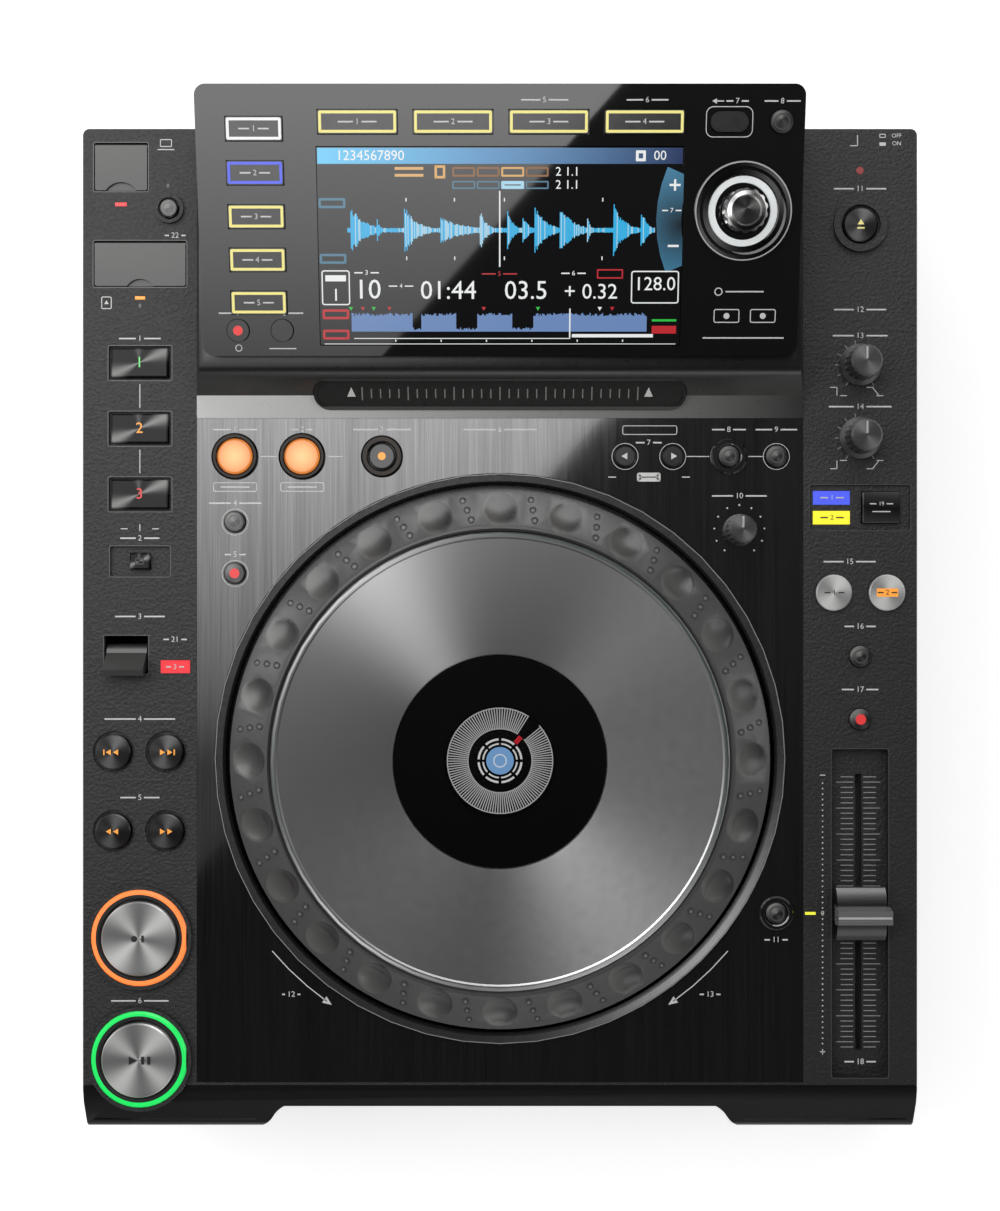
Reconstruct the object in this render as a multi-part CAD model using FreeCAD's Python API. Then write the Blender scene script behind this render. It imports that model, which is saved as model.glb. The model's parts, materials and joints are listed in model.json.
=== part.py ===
import FreeCAD, Part
import math
import os
from FreeCAD import Vector

os.makedirs("parts", exist_ok=True)

# Full-size tabletop disc and media player, millimetres, +Z up, front towards -Y.
# The origin is on the table, under the middle of the whole object.

# Body
TOP_Z = 68.0              # top of the flat deck
FOOT_H = 6.0
TRAY_T = 1.2              # steel sheet of the bottom tray
COVER_T = 2.6             # wall of the moulded top cover
SEAT_GAP = 0.3            # clearance of a piece that sits in a recess
KEY_GAP = 0.35            # clearance round a moving key
RUNNING = 0.05            # radial running clearance of a shaft

# Jog wheel
JOG_Y = -54.4
JOG_RECESS_R = 109.2
BEZEL_W = 4.0
DIAL_R = JOG_RECESS_R - 6.2
DIAL_BAND = 15.4          # width of the sloping finger band
DIAL_RIM_R = DIAL_R - DIAL_BAND
DIAL_EDGE_Z = 71.5
DIAL_RIM_Z = 80.0
PLATTER_R = DIAL_RIM_R - 1.3
PLATTER_Z = 81.0
PLATTER_T = 2.4
LABEL_R = 40.1
POST_R = 26.0
POST_BORE_R = 22.6
JOG_FLOOR_Z = 57.0
DIMPLES = 24
DIMPLE_R = DIAL_R - 8.0
JOG_TRAVEL = 0.6

# Deck plate round the wheel, and the flank on each side of it
DECK_MARGIN = 6.9         # metal left beside the jog recess
DECK_HALF = JOG_RECESS_R + DECK_MARGIN
DECK_T = 3.0
LOOP_Y = JOG_Y + JOG_RECESS_R + 6.5
DECK_REAR_Y = LOOP_Y + 14.6
DECK_FRONT_Y = JOG_Y - JOG_RECESS_R - 14.8
LEDGE = 3.0
LEDGE_T = 2.6
FLANK_W = 43.7
FLANK_X = DECK_HALF + FLANK_W / 2
HALF = DECK_HALF + FLANK_W

# Front fascia
SEAM_Y = DECK_FRONT_Y - 1.2
FRONT_Y = SEAM_Y - 17.9   # front wall of the two front corners
FASCIA_T = 3.0
RECESS_DEPTH = 9.2        # how far the middle of the front wall stands back
SLOT_W = 128.0
SLOT_H = 6.0
SLOT_Z = 34.0
CORNER_X = SLOT_W / 2 + 28.0   # inner end of each front corner
SWEEP_X = 9.0             # width of the curved step from corner to recess
FASCIA_DROP = 6.0         # height lost by the sloping top of the fascia

# Display housing and its tilted panel
PANEL_W = 2 * (DECK_HALF - 6.1)
PANEL_L = 96.6
PANEL_T = 3.5
PANEL_TILT = 11.6
FOLD_Y = DECK_REAR_Y + 8.5
FOLD_Z = TOP_Z + 2.0
RISER_Y = FOLD_Y + 6.6
RISER_Z = TOP_Z + 11.0
PANEL_FRONT_Y = RISER_Y + 5.8
PANEL_FRONT_Z = RISER_Z + 8.0
PANEL_OVERHANG = 7.8      # how far the panel stands out behind the foot of its housing
HOUSING_REAR_Y = PANEL_FRONT_Y + PANEL_L * math.cos(math.radians(PANEL_TILT)) - PANEL_OVERHANG
HOUSING_WALL = 2.5
WEDGE_HALF = PANEL_W / 2 - 1.5
LCD_W = PANEL_W - 87.2
LCD_D = 70.6
LCD_V = LCD_D / 2 + 4.1   # middle of the screen, measured up the panel from its front edge

# Rear panel
REAR_Y = HOUSING_REAR_Y + 3.2
JACK_REACH = 10.7         # how far the phono jacks stand out of the rear panel
JACK_SLEEVE_R = 4.15
JACK_Z = 42.0
POWER_X = FLANK_X
POWER_KEY_R = 5.0

# Needle search strip
STRIP_W = 142.0
STRIP_D = 12.6
STRIP_TILT = 24.0

# Left flank
USB_X = -FLANK_X - 7.3
USB_W = 19.9
USB_D = 17.8
USB_Y = REAR_Y - 14.6
SD_W = 34.8
SD_D = 16.9
SD_Y = USB_Y - 37.1
DOOR_T = 1.8
DOOR_PIN_R = 0.5
DOOR_PIN_L = 0.9
STOP_X = -FLANK_X + 11.3
STOP_Y = USB_Y - 16.1
HOT_CUE_PITCH = 25.15
HOT_CUE_Y = SD_Y - 38.0
HOT_CUE_W = 21.5
HOT_CUE_D = 10.9
REC_W = 7.4
REC_D = 6.0
REC_Y = HOT_CUE_Y - 76.0
DIRECTION_X = -FLANK_X - 5.3
DIRECTION_Y = REC_Y - 35.8
DIRECTION_W = 16.8
DIRECTION_D = 14.5
LEVER_LEAN = 34.0         # how far the lever leans to the front in reverse
LEVER_EAR = 2.4           # thickness of the cover's ears that hold the lever's pin
LEVER_PIN_R = 1.2
LEVER_Z = TOP_Z - 4.6
SEARCH_HALF_PITCH = 10.05
SEARCH_R = 6.7
TRANSPORT_R = 14.2
TRANSPORT_LENS_R = 18.4
TRANSPORT_MOUNT_R = 20.0
PLAY_Y = SEAM_Y + 10.2
CUE_Y = PLAY_Y + 46.4
SEARCH_Y = CUE_Y + 40.8
TRACK_Y = SEARCH_Y + 30.3

# Right flank
EJECT_Y = REAR_Y - 36.9
EJECT_R = 6.6
EJECT_GUARD_R = 10.3
STANDBY_Y = EJECT_Y + 21.0
TOUCH_Y = EJECT_Y - 53.5
RELEASE_Y = TOUCH_Y - 28.0
FLANK_KNOB_R = 6.0
FLANK_KNOB_H = 12.0
FLANK_SHAFT_R = 3.0
JOG_MODE_X = FLANK_X + 8.0
JOG_MODE_Y = RELEASE_Y - 26.7
JOG_MODE_W = 14.3
JOG_MODE_D = 11.8
JOG_MODE_BOX_W = 38.4
JOG_MODE_BOX_D = 17.2
BEAT_Y = JOG_MODE_Y - 32.6
BEAT_HALF_PITCH = 10.15
BEAT_R = 6.9
TEMPO_RANGE_Y = BEAT_Y - 24.4
MASTER_TEMPO_Y = TEMPO_RANGE_Y - 24.1
SMALL_KEY_R = 4.0
FADER_Y = SEAM_Y + 65.8
FADER_RECESS_W = 21.5
FADER_RECESS_L = 125.8
FADER_RECESS_DEPTH = 3.0
FADER_TRAVEL = 50.0
FADER_STEM_L = 5.0
FADER_STEM_W = 1.6
FADER_CAP_W = 18.8
FADER_CAP_L = 20.0
FADER_CAP_H = 12.0

# Deck keys
LOOP_IN_X = -DECK_HALF + 14.6
LOOP_OUT_X = LOOP_IN_X + 25.7
LOOP_LENS_R = 6.5
RELOOP_X = LOOP_OUT_X + 30.6
MEMORY_X = DECK_HALF - 10.2
DELETE_X = MEMORY_X - 18.2
CALL_PITCH = 18.3
CALL_BACK_X = DELETE_X - 39.8
LOOP_MODE_Y = LOOP_Y - 25.1
SLIP_Y = LOOP_MODE_Y - 19.7
JOG_ADJUST_X = DECK_HALF - 24.4
JOG_ADJUST_Y = LOOP_Y - 28.2
JOG_ADJUST_R = 6.1
TEMPO_RESET_X = DECK_HALF - 10.3
TEMPO_RESET_Y = JOG_Y - 59.2

# Keys in general
KEY_TRAVEL = 0.8
KEY_FLANGE = 1.0          # flange under the panel that keeps a key in its hole
KEY_FLANGE_T = 1.2
KEY_PROUD = 1.6
BOARD_GAP = 0.4           # air under a key that is pressed right down
BOARD_T = 1.6

# Keys on the tilted panel, across (x) and up the panel from its front edge (v)
SOURCE_X = -PANEL_W / 2 + 21.2
SOURCE_W = 20.4
SOURCE_D = 8.3
SOURCE_PITCH = 15.4
QUANTIZE_V = 9.3
SOURCE_V = QUANTIZE_V + 10.1
MENU_PITCH = (LCD_W + 5.2) / 4
MENU_X = -1.5 * MENU_PITCH + 0.35
MENU_V = LCD_V + LCD_D / 2 + 8.7
MENU_W = MENU_PITCH - 5.9
MENU_D = 8.3
BACK_X = PANEL_W / 2 - 27.3
BACK_W = 13.6
BACK_D = 7.2
TAG_X = PANEL_W / 2 - 8.4
SELECTOR_X = PANEL_W / 2 - 21.5
SELECTOR_V = MENU_V - 31.3
SELECTOR_DISH_R = 17.8
SELECTOR_LENS_R = 12.5
SELECTOR_LENS_IN_R = 10.2
SELECTOR_R = 7.9
SELECTOR_H = 9.5
SELECTOR_SHAFT_R = 3.0

# Inside
DRIVE_W = SLOT_W + 22.0
DISC_BAY_L = 134.0        # room for a disc behind the slot
DRIVE_D = DISC_BAY_L + 26.0

REAR_INNER_Y = REAR_Y - TRAY_T
TRAY_Z = FOOT_H + TRAY_T
COVER_UNDER_Z = TOP_Z - COVER_T
DECK_UNDER_Z = TOP_Z - DECK_T


def slab(x0, x1, y0, y1, z0, z1):
    return Part.makeBox(x1 - x0, y1 - y0, z1 - z0, Vector(x0, y0, z0))


def block(x, y, w, d, z0, z1):
    return slab(x - w / 2, x + w / 2, y - d / 2, y + d / 2, z0, z1)


def rod(x, y, r, z0, z1):
    return Part.makeCylinder(r, z1 - z0, Vector(x, y, z0))


def ring(x, y, r_out, r_in, z0, z1):
    return rod(x, y, r_out, z0, z1).cut(rod(x, y, r_in, z0 - 1, z1 + 1))


def rod_y(x, z, r, y0, y1):
    return Part.makeCylinder(r, y1 - y0, Vector(x, y0, z), Vector(0, 1, 0))


def rod_x(x, y, z, r, length):
    return Part.makeCylinder(r, length, Vector(x - length / 2, y, z), Vector(1, 0, 0))


def rounded(x, y, w, d, r, z0, z1):
    """A prism whose plan is a rectangle with round corners."""
    r = min(r, w / 2 - 0.01, d / 2 - 0.01)
    a, b, k = w / 2, d / 2, r * math.sqrt(0.5)
    corners = []
    for sx, sy in ((1, 1), (-1, 1), (-1, -1), (1, -1)):
        cx, cy = x + sx * (a - r), y + sy * (b - r)
        on_side = Vector(cx + sx * r, cy, z0)
        on_end = Vector(cx, cy + sy * r, z0)
        middle = Vector(cx + sx * k, cy + sy * k, z0)
        corners.append((on_side, middle, on_end) if sx * sy > 0 else (on_end, middle, on_side))
    edges = []
    for i, (start, middle, end) in enumerate(corners):
        edges.append(Part.Arc(start, middle, end).toShape())
        edges.append(Part.LineSegment(end, corners[(i + 1) % 4][0]).toShape())
    return Part.Face(Part.Wire(edges)).extrude(Vector(0, 0, z1 - z0))


def capsule(x, y, w, d, z0, z1):
    return rounded(x, y, w, d, min(w, d) / 2, z0, z1)


def prism_x(points, x0, x1):
    """A (y, z) outline drawn out along X."""
    loop = [Vector(x0, y, z) for y, z in points]
    return Part.Face(Part.makePolygon(loop + loop[:1])).extrude(Vector(x1 - x0, 0, 0))


def turned(x, y, points):
    """An (r, z) outline turned about a vertical axis."""
    loop = [Vector(x + r, y, z) for r, z in points]
    face = Part.Face(Part.makePolygon(loop + loop[:1]))
    return face.revolve(Vector(x, y, 0), Vector(0, 0, 1), 360)


def joined(solids):
    solids = list(solids)
    return solids[0].multiFuse(solids[1:]).removeSplitter() if len(solids) > 1 else solids[0]


def grouped(solids):
    return Part.makeCompound(list(solids))


def on_panel(shape):
    """Moves a shape from the panel's own frame, top face at z = 0 and front edge at y = 0."""
    shape = shape.copy()
    shape.rotate(Vector(0, 0, 0), Vector(1, 0, 0), PANEL_TILT)
    shape.translate(Vector(0, PANEL_FRONT_Y, PANEL_FRONT_Z))
    return shape


def panel_point(v, w):
    """The (y, z) of a point v up the panel and w above its top face."""
    t = math.radians(PANEL_TILT)
    return (PANEL_FRONT_Y + v * math.cos(t) - w * math.sin(t),
            PANEL_FRONT_Z + v * math.sin(t) + w * math.cos(t))


def on_strip(shape):
    """Moves a shape to the needle search strip, whose middle lies just above the fold."""
    shape = shape.copy()
    shape.rotate(Vector(0, 0, 0), Vector(1, 0, 0), STRIP_TILT)
    shape.translate(Vector(0, FOLD_Y + 0.6, FOLD_Z + 1.4))
    return shape


# Keys: one place and size for each, used by the key, its hole and its guard

DECK_KEYS = {
    "loop_in_button": (LOOP_IN_X, LOOP_Y, LOOP_LENS_R),
    "loop_out_button": (LOOP_OUT_X, LOOP_Y, LOOP_LENS_R),
    "reloop_exit_button": (RELOOP_X, LOOP_Y, SMALL_KEY_R + 1.0),
    "loop_mode_button": (LOOP_IN_X, LOOP_MODE_Y, SMALL_KEY_R),
    "slip_button": (LOOP_IN_X, SLIP_Y, SMALL_KEY_R),
    "call_back": (CALL_BACK_X, LOOP_Y, SMALL_KEY_R),
    "call_forward": (CALL_BACK_X + CALL_PITCH, LOOP_Y, SMALL_KEY_R),
    "delete_button": (DELETE_X, LOOP_Y, SMALL_KEY_R),
    "memory_button": (MEMORY_X, LOOP_Y, SMALL_KEY_R),
    "tempo_reset_button": (TEMPO_RESET_X, TEMPO_RESET_Y, SMALL_KEY_R),
}
# Raised guard rings of the deck plate: outer radius round each key
DECK_GUARDS = {
    "loop_in_button": LOOP_LENS_R + 2.5,
    "loop_out_button": LOOP_LENS_R + 2.5,
    "reloop_exit_button": SMALL_KEY_R + 4.1,
    "delete_button": SMALL_KEY_R + 3.0,
    "tempo_reset_button": SMALL_KEY_R + 2.6,
}
COVER_KEYS = {
    "usb_stop_button": (STOP_X, STOP_Y, SMALL_KEY_R - 0.5),
    "track_search_back_button": (-FLANK_X - SEARCH_HALF_PITCH, TRACK_Y, SEARCH_R),
    "track_search_forward_button": (-FLANK_X + SEARCH_HALF_PITCH, TRACK_Y, SEARCH_R),
    "search_back_button": (-FLANK_X - SEARCH_HALF_PITCH, SEARCH_Y, SEARCH_R),
    "search_forward_button": (-FLANK_X + SEARCH_HALF_PITCH, SEARCH_Y, SEARCH_R),
    "cue_button": (-FLANK_X, CUE_Y, TRANSPORT_R),
    "play_button": (-FLANK_X, PLAY_Y, TRANSPORT_R),
    "eject_button": (FLANK_X, EJECT_Y, EJECT_R),
    "beat_sync_button": (FLANK_X - BEAT_HALF_PITCH, BEAT_Y, BEAT_R),
    "beat_master_button": (FLANK_X + BEAT_HALF_PITCH, BEAT_Y, BEAT_R),
    "tempo_range_button": (FLANK_X, TEMPO_RANGE_Y, SMALL_KEY_R),
    "master_tempo_button": (FLANK_X, MASTER_TEMPO_Y, SMALL_KEY_R),
}
COVER_BLOCK_KEYS = {
    "hot_cue_a_button": (-FLANK_X, HOT_CUE_Y, HOT_CUE_W, HOT_CUE_D),
    "hot_cue_b_button": (-FLANK_X, HOT_CUE_Y - HOT_CUE_PITCH, HOT_CUE_W, HOT_CUE_D),
    "hot_cue_c_button": (-FLANK_X, HOT_CUE_Y - 2 * HOT_CUE_PITCH, HOT_CUE_W, HOT_CUE_D),
    "rec_call_button": (-FLANK_X, REC_Y, REC_W, REC_D),
    "jog_mode_button": (JOG_MODE_X, JOG_MODE_Y, JOG_MODE_W, JOG_MODE_D),
}
FLANK_KNOBS = {
    "touch_brake_knob": (FLANK_X, TOUCH_Y),
    "release_start_knob": (FLANK_X, RELEASE_Y),
}


def chassis():
    """Folded steel tray: bottom sheet, low side flanges inside the cover, and the rear panel."""
    side = HALF - COVER_T - SEAT_GAP
    bottom = slab(-HALF + 1, HALF - 1, SEAM_Y - 5, REAR_Y, FOOT_H, TRAY_Z)
    tray = [bottom, slab(-side, side, REAR_INNER_Y, REAR_Y, TRAY_Z, TOP_Z - 9.0)]
    for s in (-1, 1):
        x0, x1 = sorted((s * side, s * (side - TRAY_T)))
        tray.append(slab(x0, x1, SEAM_Y + 6, REAR_INNER_Y, TRAY_Z, TRAY_Z + 18))
    body = joined(tray)
    cuts = []
    for row in range(3):
        for i in range(9):
            x = (i - 4) * 12.0
            y = 20.0 + row * 24.0
            cuts.append(capsule(x, y, 3.0, 18.0, FOOT_H - 1, TRAY_Z + 1))
    for name in REAR_HOLES:
        cuts.append(rear_hole(name, SEAT_GAP))
    cuts.append(rod_y(POWER_X, JACK_Z, POWER_KEY_R + KEY_GAP, REAR_INNER_Y - 1, REAR_Y + 1))
    for x, y in tray_screw_places():
        cuts.append(rod(x, y, 1.6, FOOT_H - 1, TRAY_Z + 1))
    return body.cut(cuts)


# Rear connectors: x, z, width, height (a round one has no height)
REAR_HOLES = {
    "output_left": (60.0, JACK_Z + 8.0, 11.0, 0),
    "output_right": (60.0, JACK_Z - 8.0, 11.0, 0),
    "digital_out": (38.0, JACK_Z, 11.0, 0),
    "control": (16.0, JACK_Z, 8.0, 0),
    "lan": (-14.0, JACK_Z, 16.0, 14.0),
    "usb_host": (-42.0, JACK_Z, 13.0, 12.0),
    "inlet": (-92.0, JACK_Z, 30.0, 22.0),
}


def rear_hole(name, gap):
    x, z, w, h = REAR_HOLES[name]
    if h:
        return slab(x - w / 2 - gap, x + w / 2 + gap, REAR_INNER_Y - 1, REAR_Y + 1,
                    z - h / 2 - gap, z + h / 2 + gap)
    return rod_y(x, z, w / 2 + gap, REAR_INNER_Y - 1, REAR_Y + 1)


def tray_screw_places():
    inset = 24.0
    return [(sx * (HALF - inset), y) for sx in (-1, 1) for y in (SEAM_Y + 40, 10, REAR_Y - 40)]


def key_hole(x, y, r):
    return rod(x, y, r + KEY_GAP, DECK_UNDER_Z - LEDGE_T - 1, TOP_Z + 5)


def top_cover():
    """Moulded shell: flat top, side walls, a rim that the deck plate and display housing sit on."""
    rear = REAR_Y
    shell = slab(-HALF, HALF, SEAM_Y, rear, TRAY_Z, TOP_Z)
    shell = shell.makeFillet(2.5, [e for e in shell.Edges if on_rear_corner(e)])
    inner = slab(-HALF + COVER_T, HALF - COVER_T, SEAM_Y - 1, rear - COVER_T, TRAY_Z - 1, COVER_UNDER_Z)
    body = shell.cut([inner, slab(-HALF + COVER_T, HALF - COVER_T, rear - COVER_T - 1, rear + 1,
                                  TRAY_Z - 1, TOP_Z - 8.7)])
    frame_half = DECK_HALF + 3
    frame_front = DECK_FRONT_Y - 0.1
    ledge = slab(-frame_half, frame_half, frame_front, HOUSING_REAR_Y + 0.4,
                 DECK_UNDER_Z - LEDGE_T, COVER_UNDER_Z)
    body = body.fuse(ledge)
    cuts = [slab(-DECK_HALF - 0.1, DECK_HALF + 0.1, DECK_FRONT_Y - 0.1, HOUSING_REAR_Y + 0.1,
                 DECK_UNDER_Z, TOP_Z + 1)]
    open_half = DECK_HALF - LEDGE
    for y0, y1 in ((DECK_FRONT_Y + LEDGE, DECK_REAR_Y - LEDGE),
                   (DECK_REAR_Y + LEDGE, HOUSING_REAR_Y - LEDGE)):
        cuts.append(slab(-open_half, open_half, y0, y1, DECK_UNDER_Z - LEDGE_T - 1, TOP_Z))
    adds = [rod(-FLANK_X, PLAY_Y, TRANSPORT_MOUNT_R, COVER_UNDER_Z, TOP_Z)]
    for y in (CUE_Y, PLAY_Y):
        adds.append(ring(-FLANK_X, y, TRANSPORT_MOUNT_R, TRANSPORT_LENS_R + 0.15, TOP_Z - 1, TOP_Z + 1.4))
        cuts.append(rod(-FLANK_X, y, TRANSPORT_LENS_R + 0.15, TOP_Z - 1.2, TOP_Z + 3))
    adds.append(ring(STOP_X, STOP_Y, 5.5, 4.2, TOP_Z - 1, TOP_Z + 1.2))
    adds.append(ring(FLANK_X, EJECT_Y, EJECT_GUARD_R, EJECT_R + 1.0, TOP_Z - 1, TOP_Z + 1.6))
    for x, y, r in COVER_KEYS.values():
        cuts.append(key_hole(x, y, r))
    for y in (TRACK_Y, SEARCH_Y):
        for s in (-1, 1):
            cuts.append(rod(-FLANK_X + s * SEARCH_HALF_PITCH, y, SEARCH_R + 1.3, TOP_Z - 0.8, TOP_Z + 3))
    for name, (x, y, w, d) in COVER_BLOCK_KEYS.items():
        cuts.append(block(x, y, w + 2 * KEY_GAP, d + 2 * KEY_GAP, COVER_UNDER_Z - 4, TOP_Z + 3))
        if name.startswith("hot"):
            cuts.append(rounded(x, y, w + 2.5, d + 2.1, 0.8, TOP_Z - 1.2, TOP_Z + 3))
    cuts.append(rounded(-FLANK_X, REC_Y, REC_W + 15.5, REC_D + 5.5, 0.8, TOP_Z - 1.0, TOP_Z + 3))
    cuts.append(rounded(FLANK_X, JOG_MODE_Y, JOG_MODE_BOX_W, JOG_MODE_BOX_D, 1.0, TOP_Z - 0.8, TOP_Z + 3))
    for w, d, x, y in ((USB_W, USB_D, USB_X, USB_Y), (SD_W, SD_D, -FLANK_X, SD_Y)):
        cuts.append(rounded(x, y, w + 2 * KEY_GAP, d + 2 * KEY_GAP, 0.6, TOP_Z - DOOR_T - 0.3, TOP_Z + 3))
        cuts.append(rod_x(x, y + d / 2 - DOOR_T / 2, TOP_Z - DOOR_T / 2, DOOR_PIN_R + RUNNING,
                          w + 2 * DOOR_PIN_L + 0.4))
    cuts.append(block(USB_X, USB_Y - 1.5, 13.5, 6.1, COVER_UNDER_Z - 4, TOP_Z + 3))
    cuts.append(block(-FLANK_X, SD_Y - 1.5, 26.0, 4.0, COVER_UNDER_Z - 4, TOP_Z + 3))
    adds.append(block(DIRECTION_X, DIRECTION_Y, DIRECTION_W + 2 * LEVER_EAR, 8.0,
                      LEVER_Z - 3.0, COVER_UNDER_Z + 0.5))
    cuts.append(block(DIRECTION_X, DIRECTION_Y, DIRECTION_W, DIRECTION_D, LEVER_Z - 6, TOP_Z + 3))
    cuts.append(rod_x(DIRECTION_X, DIRECTION_Y, LEVER_Z, LEVER_PIN_R + RUNNING, DIRECTION_W + 3 * LEVER_EAR))
    for x, y in FLANK_KNOBS.values():
        cuts.append(rod(x, y, FLANK_SHAFT_R + RUNNING, COVER_UNDER_Z - 4, TOP_Z + 3))
    cuts.append(rounded(FLANK_X, FADER_Y, FADER_RECESS_W, FADER_RECESS_L, 1.0,
                        TOP_Z - FADER_RECESS_DEPTH, TOP_Z + 3))
    adds.append(block(FLANK_X, FADER_Y, FADER_RECESS_W + 2 * COVER_T, FADER_RECESS_L + 2 * COVER_T,
                      TOP_Z - FADER_RECESS_DEPTH - COVER_T, TOP_Z - COVER_T + 0.5))
    cuts.append(fader_slot())
    for part in lens_solids():
        cuts.append(part)
    return body.multiFuse(adds).cut(cuts).removeSplitter()


def on_rear_corner(edge):
    box = edge.BoundBox
    return box.ZLength > TOP_Z - TRAY_Z - 1 and box.YMin > REAR_Y - 1


def fader_slot():
    length = 2 * FADER_TRAVEL + FADER_STEM_L + 1.5
    return block(FLANK_X, FADER_Y, FADER_STEM_W + 0.8, length, TOP_Z - FADER_RECESS_DEPTH - COVER_T - 1,
                 TOP_Z + 3)


def deck_plate():
    """Brushed plate round the jog wheel, with the guard rings of the deck keys."""
    plate = slab(-DECK_HALF, DECK_HALF, DECK_FRONT_Y, DECK_REAR_Y, DECK_UNDER_Z, TOP_Z)
    adds = []
    for name, r_out in DECK_GUARDS.items():
        x, y, r = DECK_KEYS[name]
        outline = [(r + KEY_GAP, TOP_Z - 1), (r_out, TOP_Z - 1), (r_out, TOP_Z + 0.8),
                   (r_out - 0.7, TOP_Z + 1.5), (r + KEY_GAP + 0.5, TOP_Z + 1.5), (r + KEY_GAP, TOP_Z + 1.1)]
        adds.append(turned(x, y, outline))
    cuts = [rod(0, JOG_Y, JOG_RECESS_R + SEAT_GAP / 2, DECK_UNDER_Z - 1, TOP_Z + 1),
            rod(JOG_ADJUST_X, JOG_ADJUST_Y, FLANK_SHAFT_R + RUNNING, DECK_UNDER_Z - 1, TOP_Z + 1)]
    for x, y, r in DECK_KEYS.values():
        cuts.append(rod(x, y, r + KEY_GAP, DECK_UNDER_Z - 1, TOP_Z + 3))
    return plate.multiFuse(adds).cut(cuts).removeSplitter()


def front_outline(inset, z):
    """Plan of the front wall as one closed wire, drawn inwards by inset."""
    f, rear = FRONT_Y + inset, SEAM_Y - 0.15
    back = FRONT_Y + RECESS_DEPTH + inset
    x_end = HALF - inset
    xc, xr = CORNER_X + inset, CORNER_X - SWEEP_X + inset
    xm, ym = (xc + xr) / 2, (f + back) / 2
    lean = 0.30

    def sweep(s):
        a = Vector(s * xc, f, z)
        m = Vector(s * xm, ym, z)
        b = Vector(s * xr, back, z)
        k = SWEEP_X / 4
        first = Part.Arc(a, Vector(s * (xm + k), f + RECESS_DEPTH * lean * 0.62, z), m).toShape()
        second = Part.Arc(m, Vector(s * (xm - k), back - RECESS_DEPTH * lean * 0.62, z), b).toShape()
        return first, second

    left_out, left_in = sweep(-1)
    right_out, right_in = sweep(1)

    def line(x0, y0, x1, y1):
        return Part.LineSegment(Vector(x0, y0, z), Vector(x1, y1, z)).toShape()

    edges = [line(-x_end, rear, -x_end, f), line(-x_end, f, -xc, f), left_out, left_in,
             line(-xr, back, xr, back), right_in, right_out,
             line(xc, f, x_end, f), line(x_end, f, x_end, rear), line(x_end, rear, -x_end, rear)]
    return Part.Wire(Part.__sortEdges__(edges))


def front_fascia():
    """Moulded front: sloping brow, two forward corners, curved steps and the disc slot."""
    height = TOP_Z - TRAY_Z
    solid = Part.Face(front_outline(0, TRAY_Z)).extrude(Vector(0, 0, height))
    hollow = Part.Face(front_outline(FASCIA_T, TRAY_Z - 1)).extrude(Vector(0, 0, height + 1 - FASCIA_T - 2))
    brow = prism_x([(SEAM_Y - 2.0, TOP_Z + 1), (SEAM_Y - 2.0, TOP_Z), (SEAM_Y - 7.0, TOP_Z - 1.2),
                    (FRONT_Y + 1.6, TOP_Z - FASCIA_DROP), (FRONT_Y - 1, TOP_Z - FASCIA_DROP - 3.5),
                    (FRONT_Y - 3, TOP_Z + 1)], -HALF - 1, HALF + 1)
    rear_open = slab(-HALF + FASCIA_T, HALF - FASCIA_T, SEAM_Y - 6, SEAM_Y + 1,
                     TRAY_Z - 1, TOP_Z - FASCIA_T - 2)
    slot_lip = prism_x([(FRONT_Y + RECESS_DEPTH - 1, SLOT_Z + SLOT_H / 2 + 1.5),
                        (FRONT_Y + RECESS_DEPTH + 1.5, SLOT_Z + SLOT_H / 2),
                        (FRONT_Y + RECESS_DEPTH + 1.5, SLOT_Z - SLOT_H / 2),
                        (FRONT_Y + RECESS_DEPTH - 1, SLOT_Z - SLOT_H / 2 - 1.5)],
                       -SLOT_W / 2 - 1.5, SLOT_W / 2 + 1.5)
    slot = slab(-SLOT_W / 2, SLOT_W / 2, FRONT_Y - 1, SEAM_Y + 5, SLOT_Z - SLOT_H / 2, SLOT_Z + SLOT_H / 2)
    mount = rod(-FLANK_X, PLAY_Y, TRANSPORT_MOUNT_R + 0.2, TOP_Z - 12, TOP_Z + 2)
    tray_edge = slab(-HALF + 0.7, HALF - 0.7, SEAM_Y - 5.3, SEAM_Y + 1, TRAY_Z - 1, TRAY_Z)
    return solid.cut([hollow, brow, rear_open, slot_lip, slot, mount, tray_edge]).removeSplitter()


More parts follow.
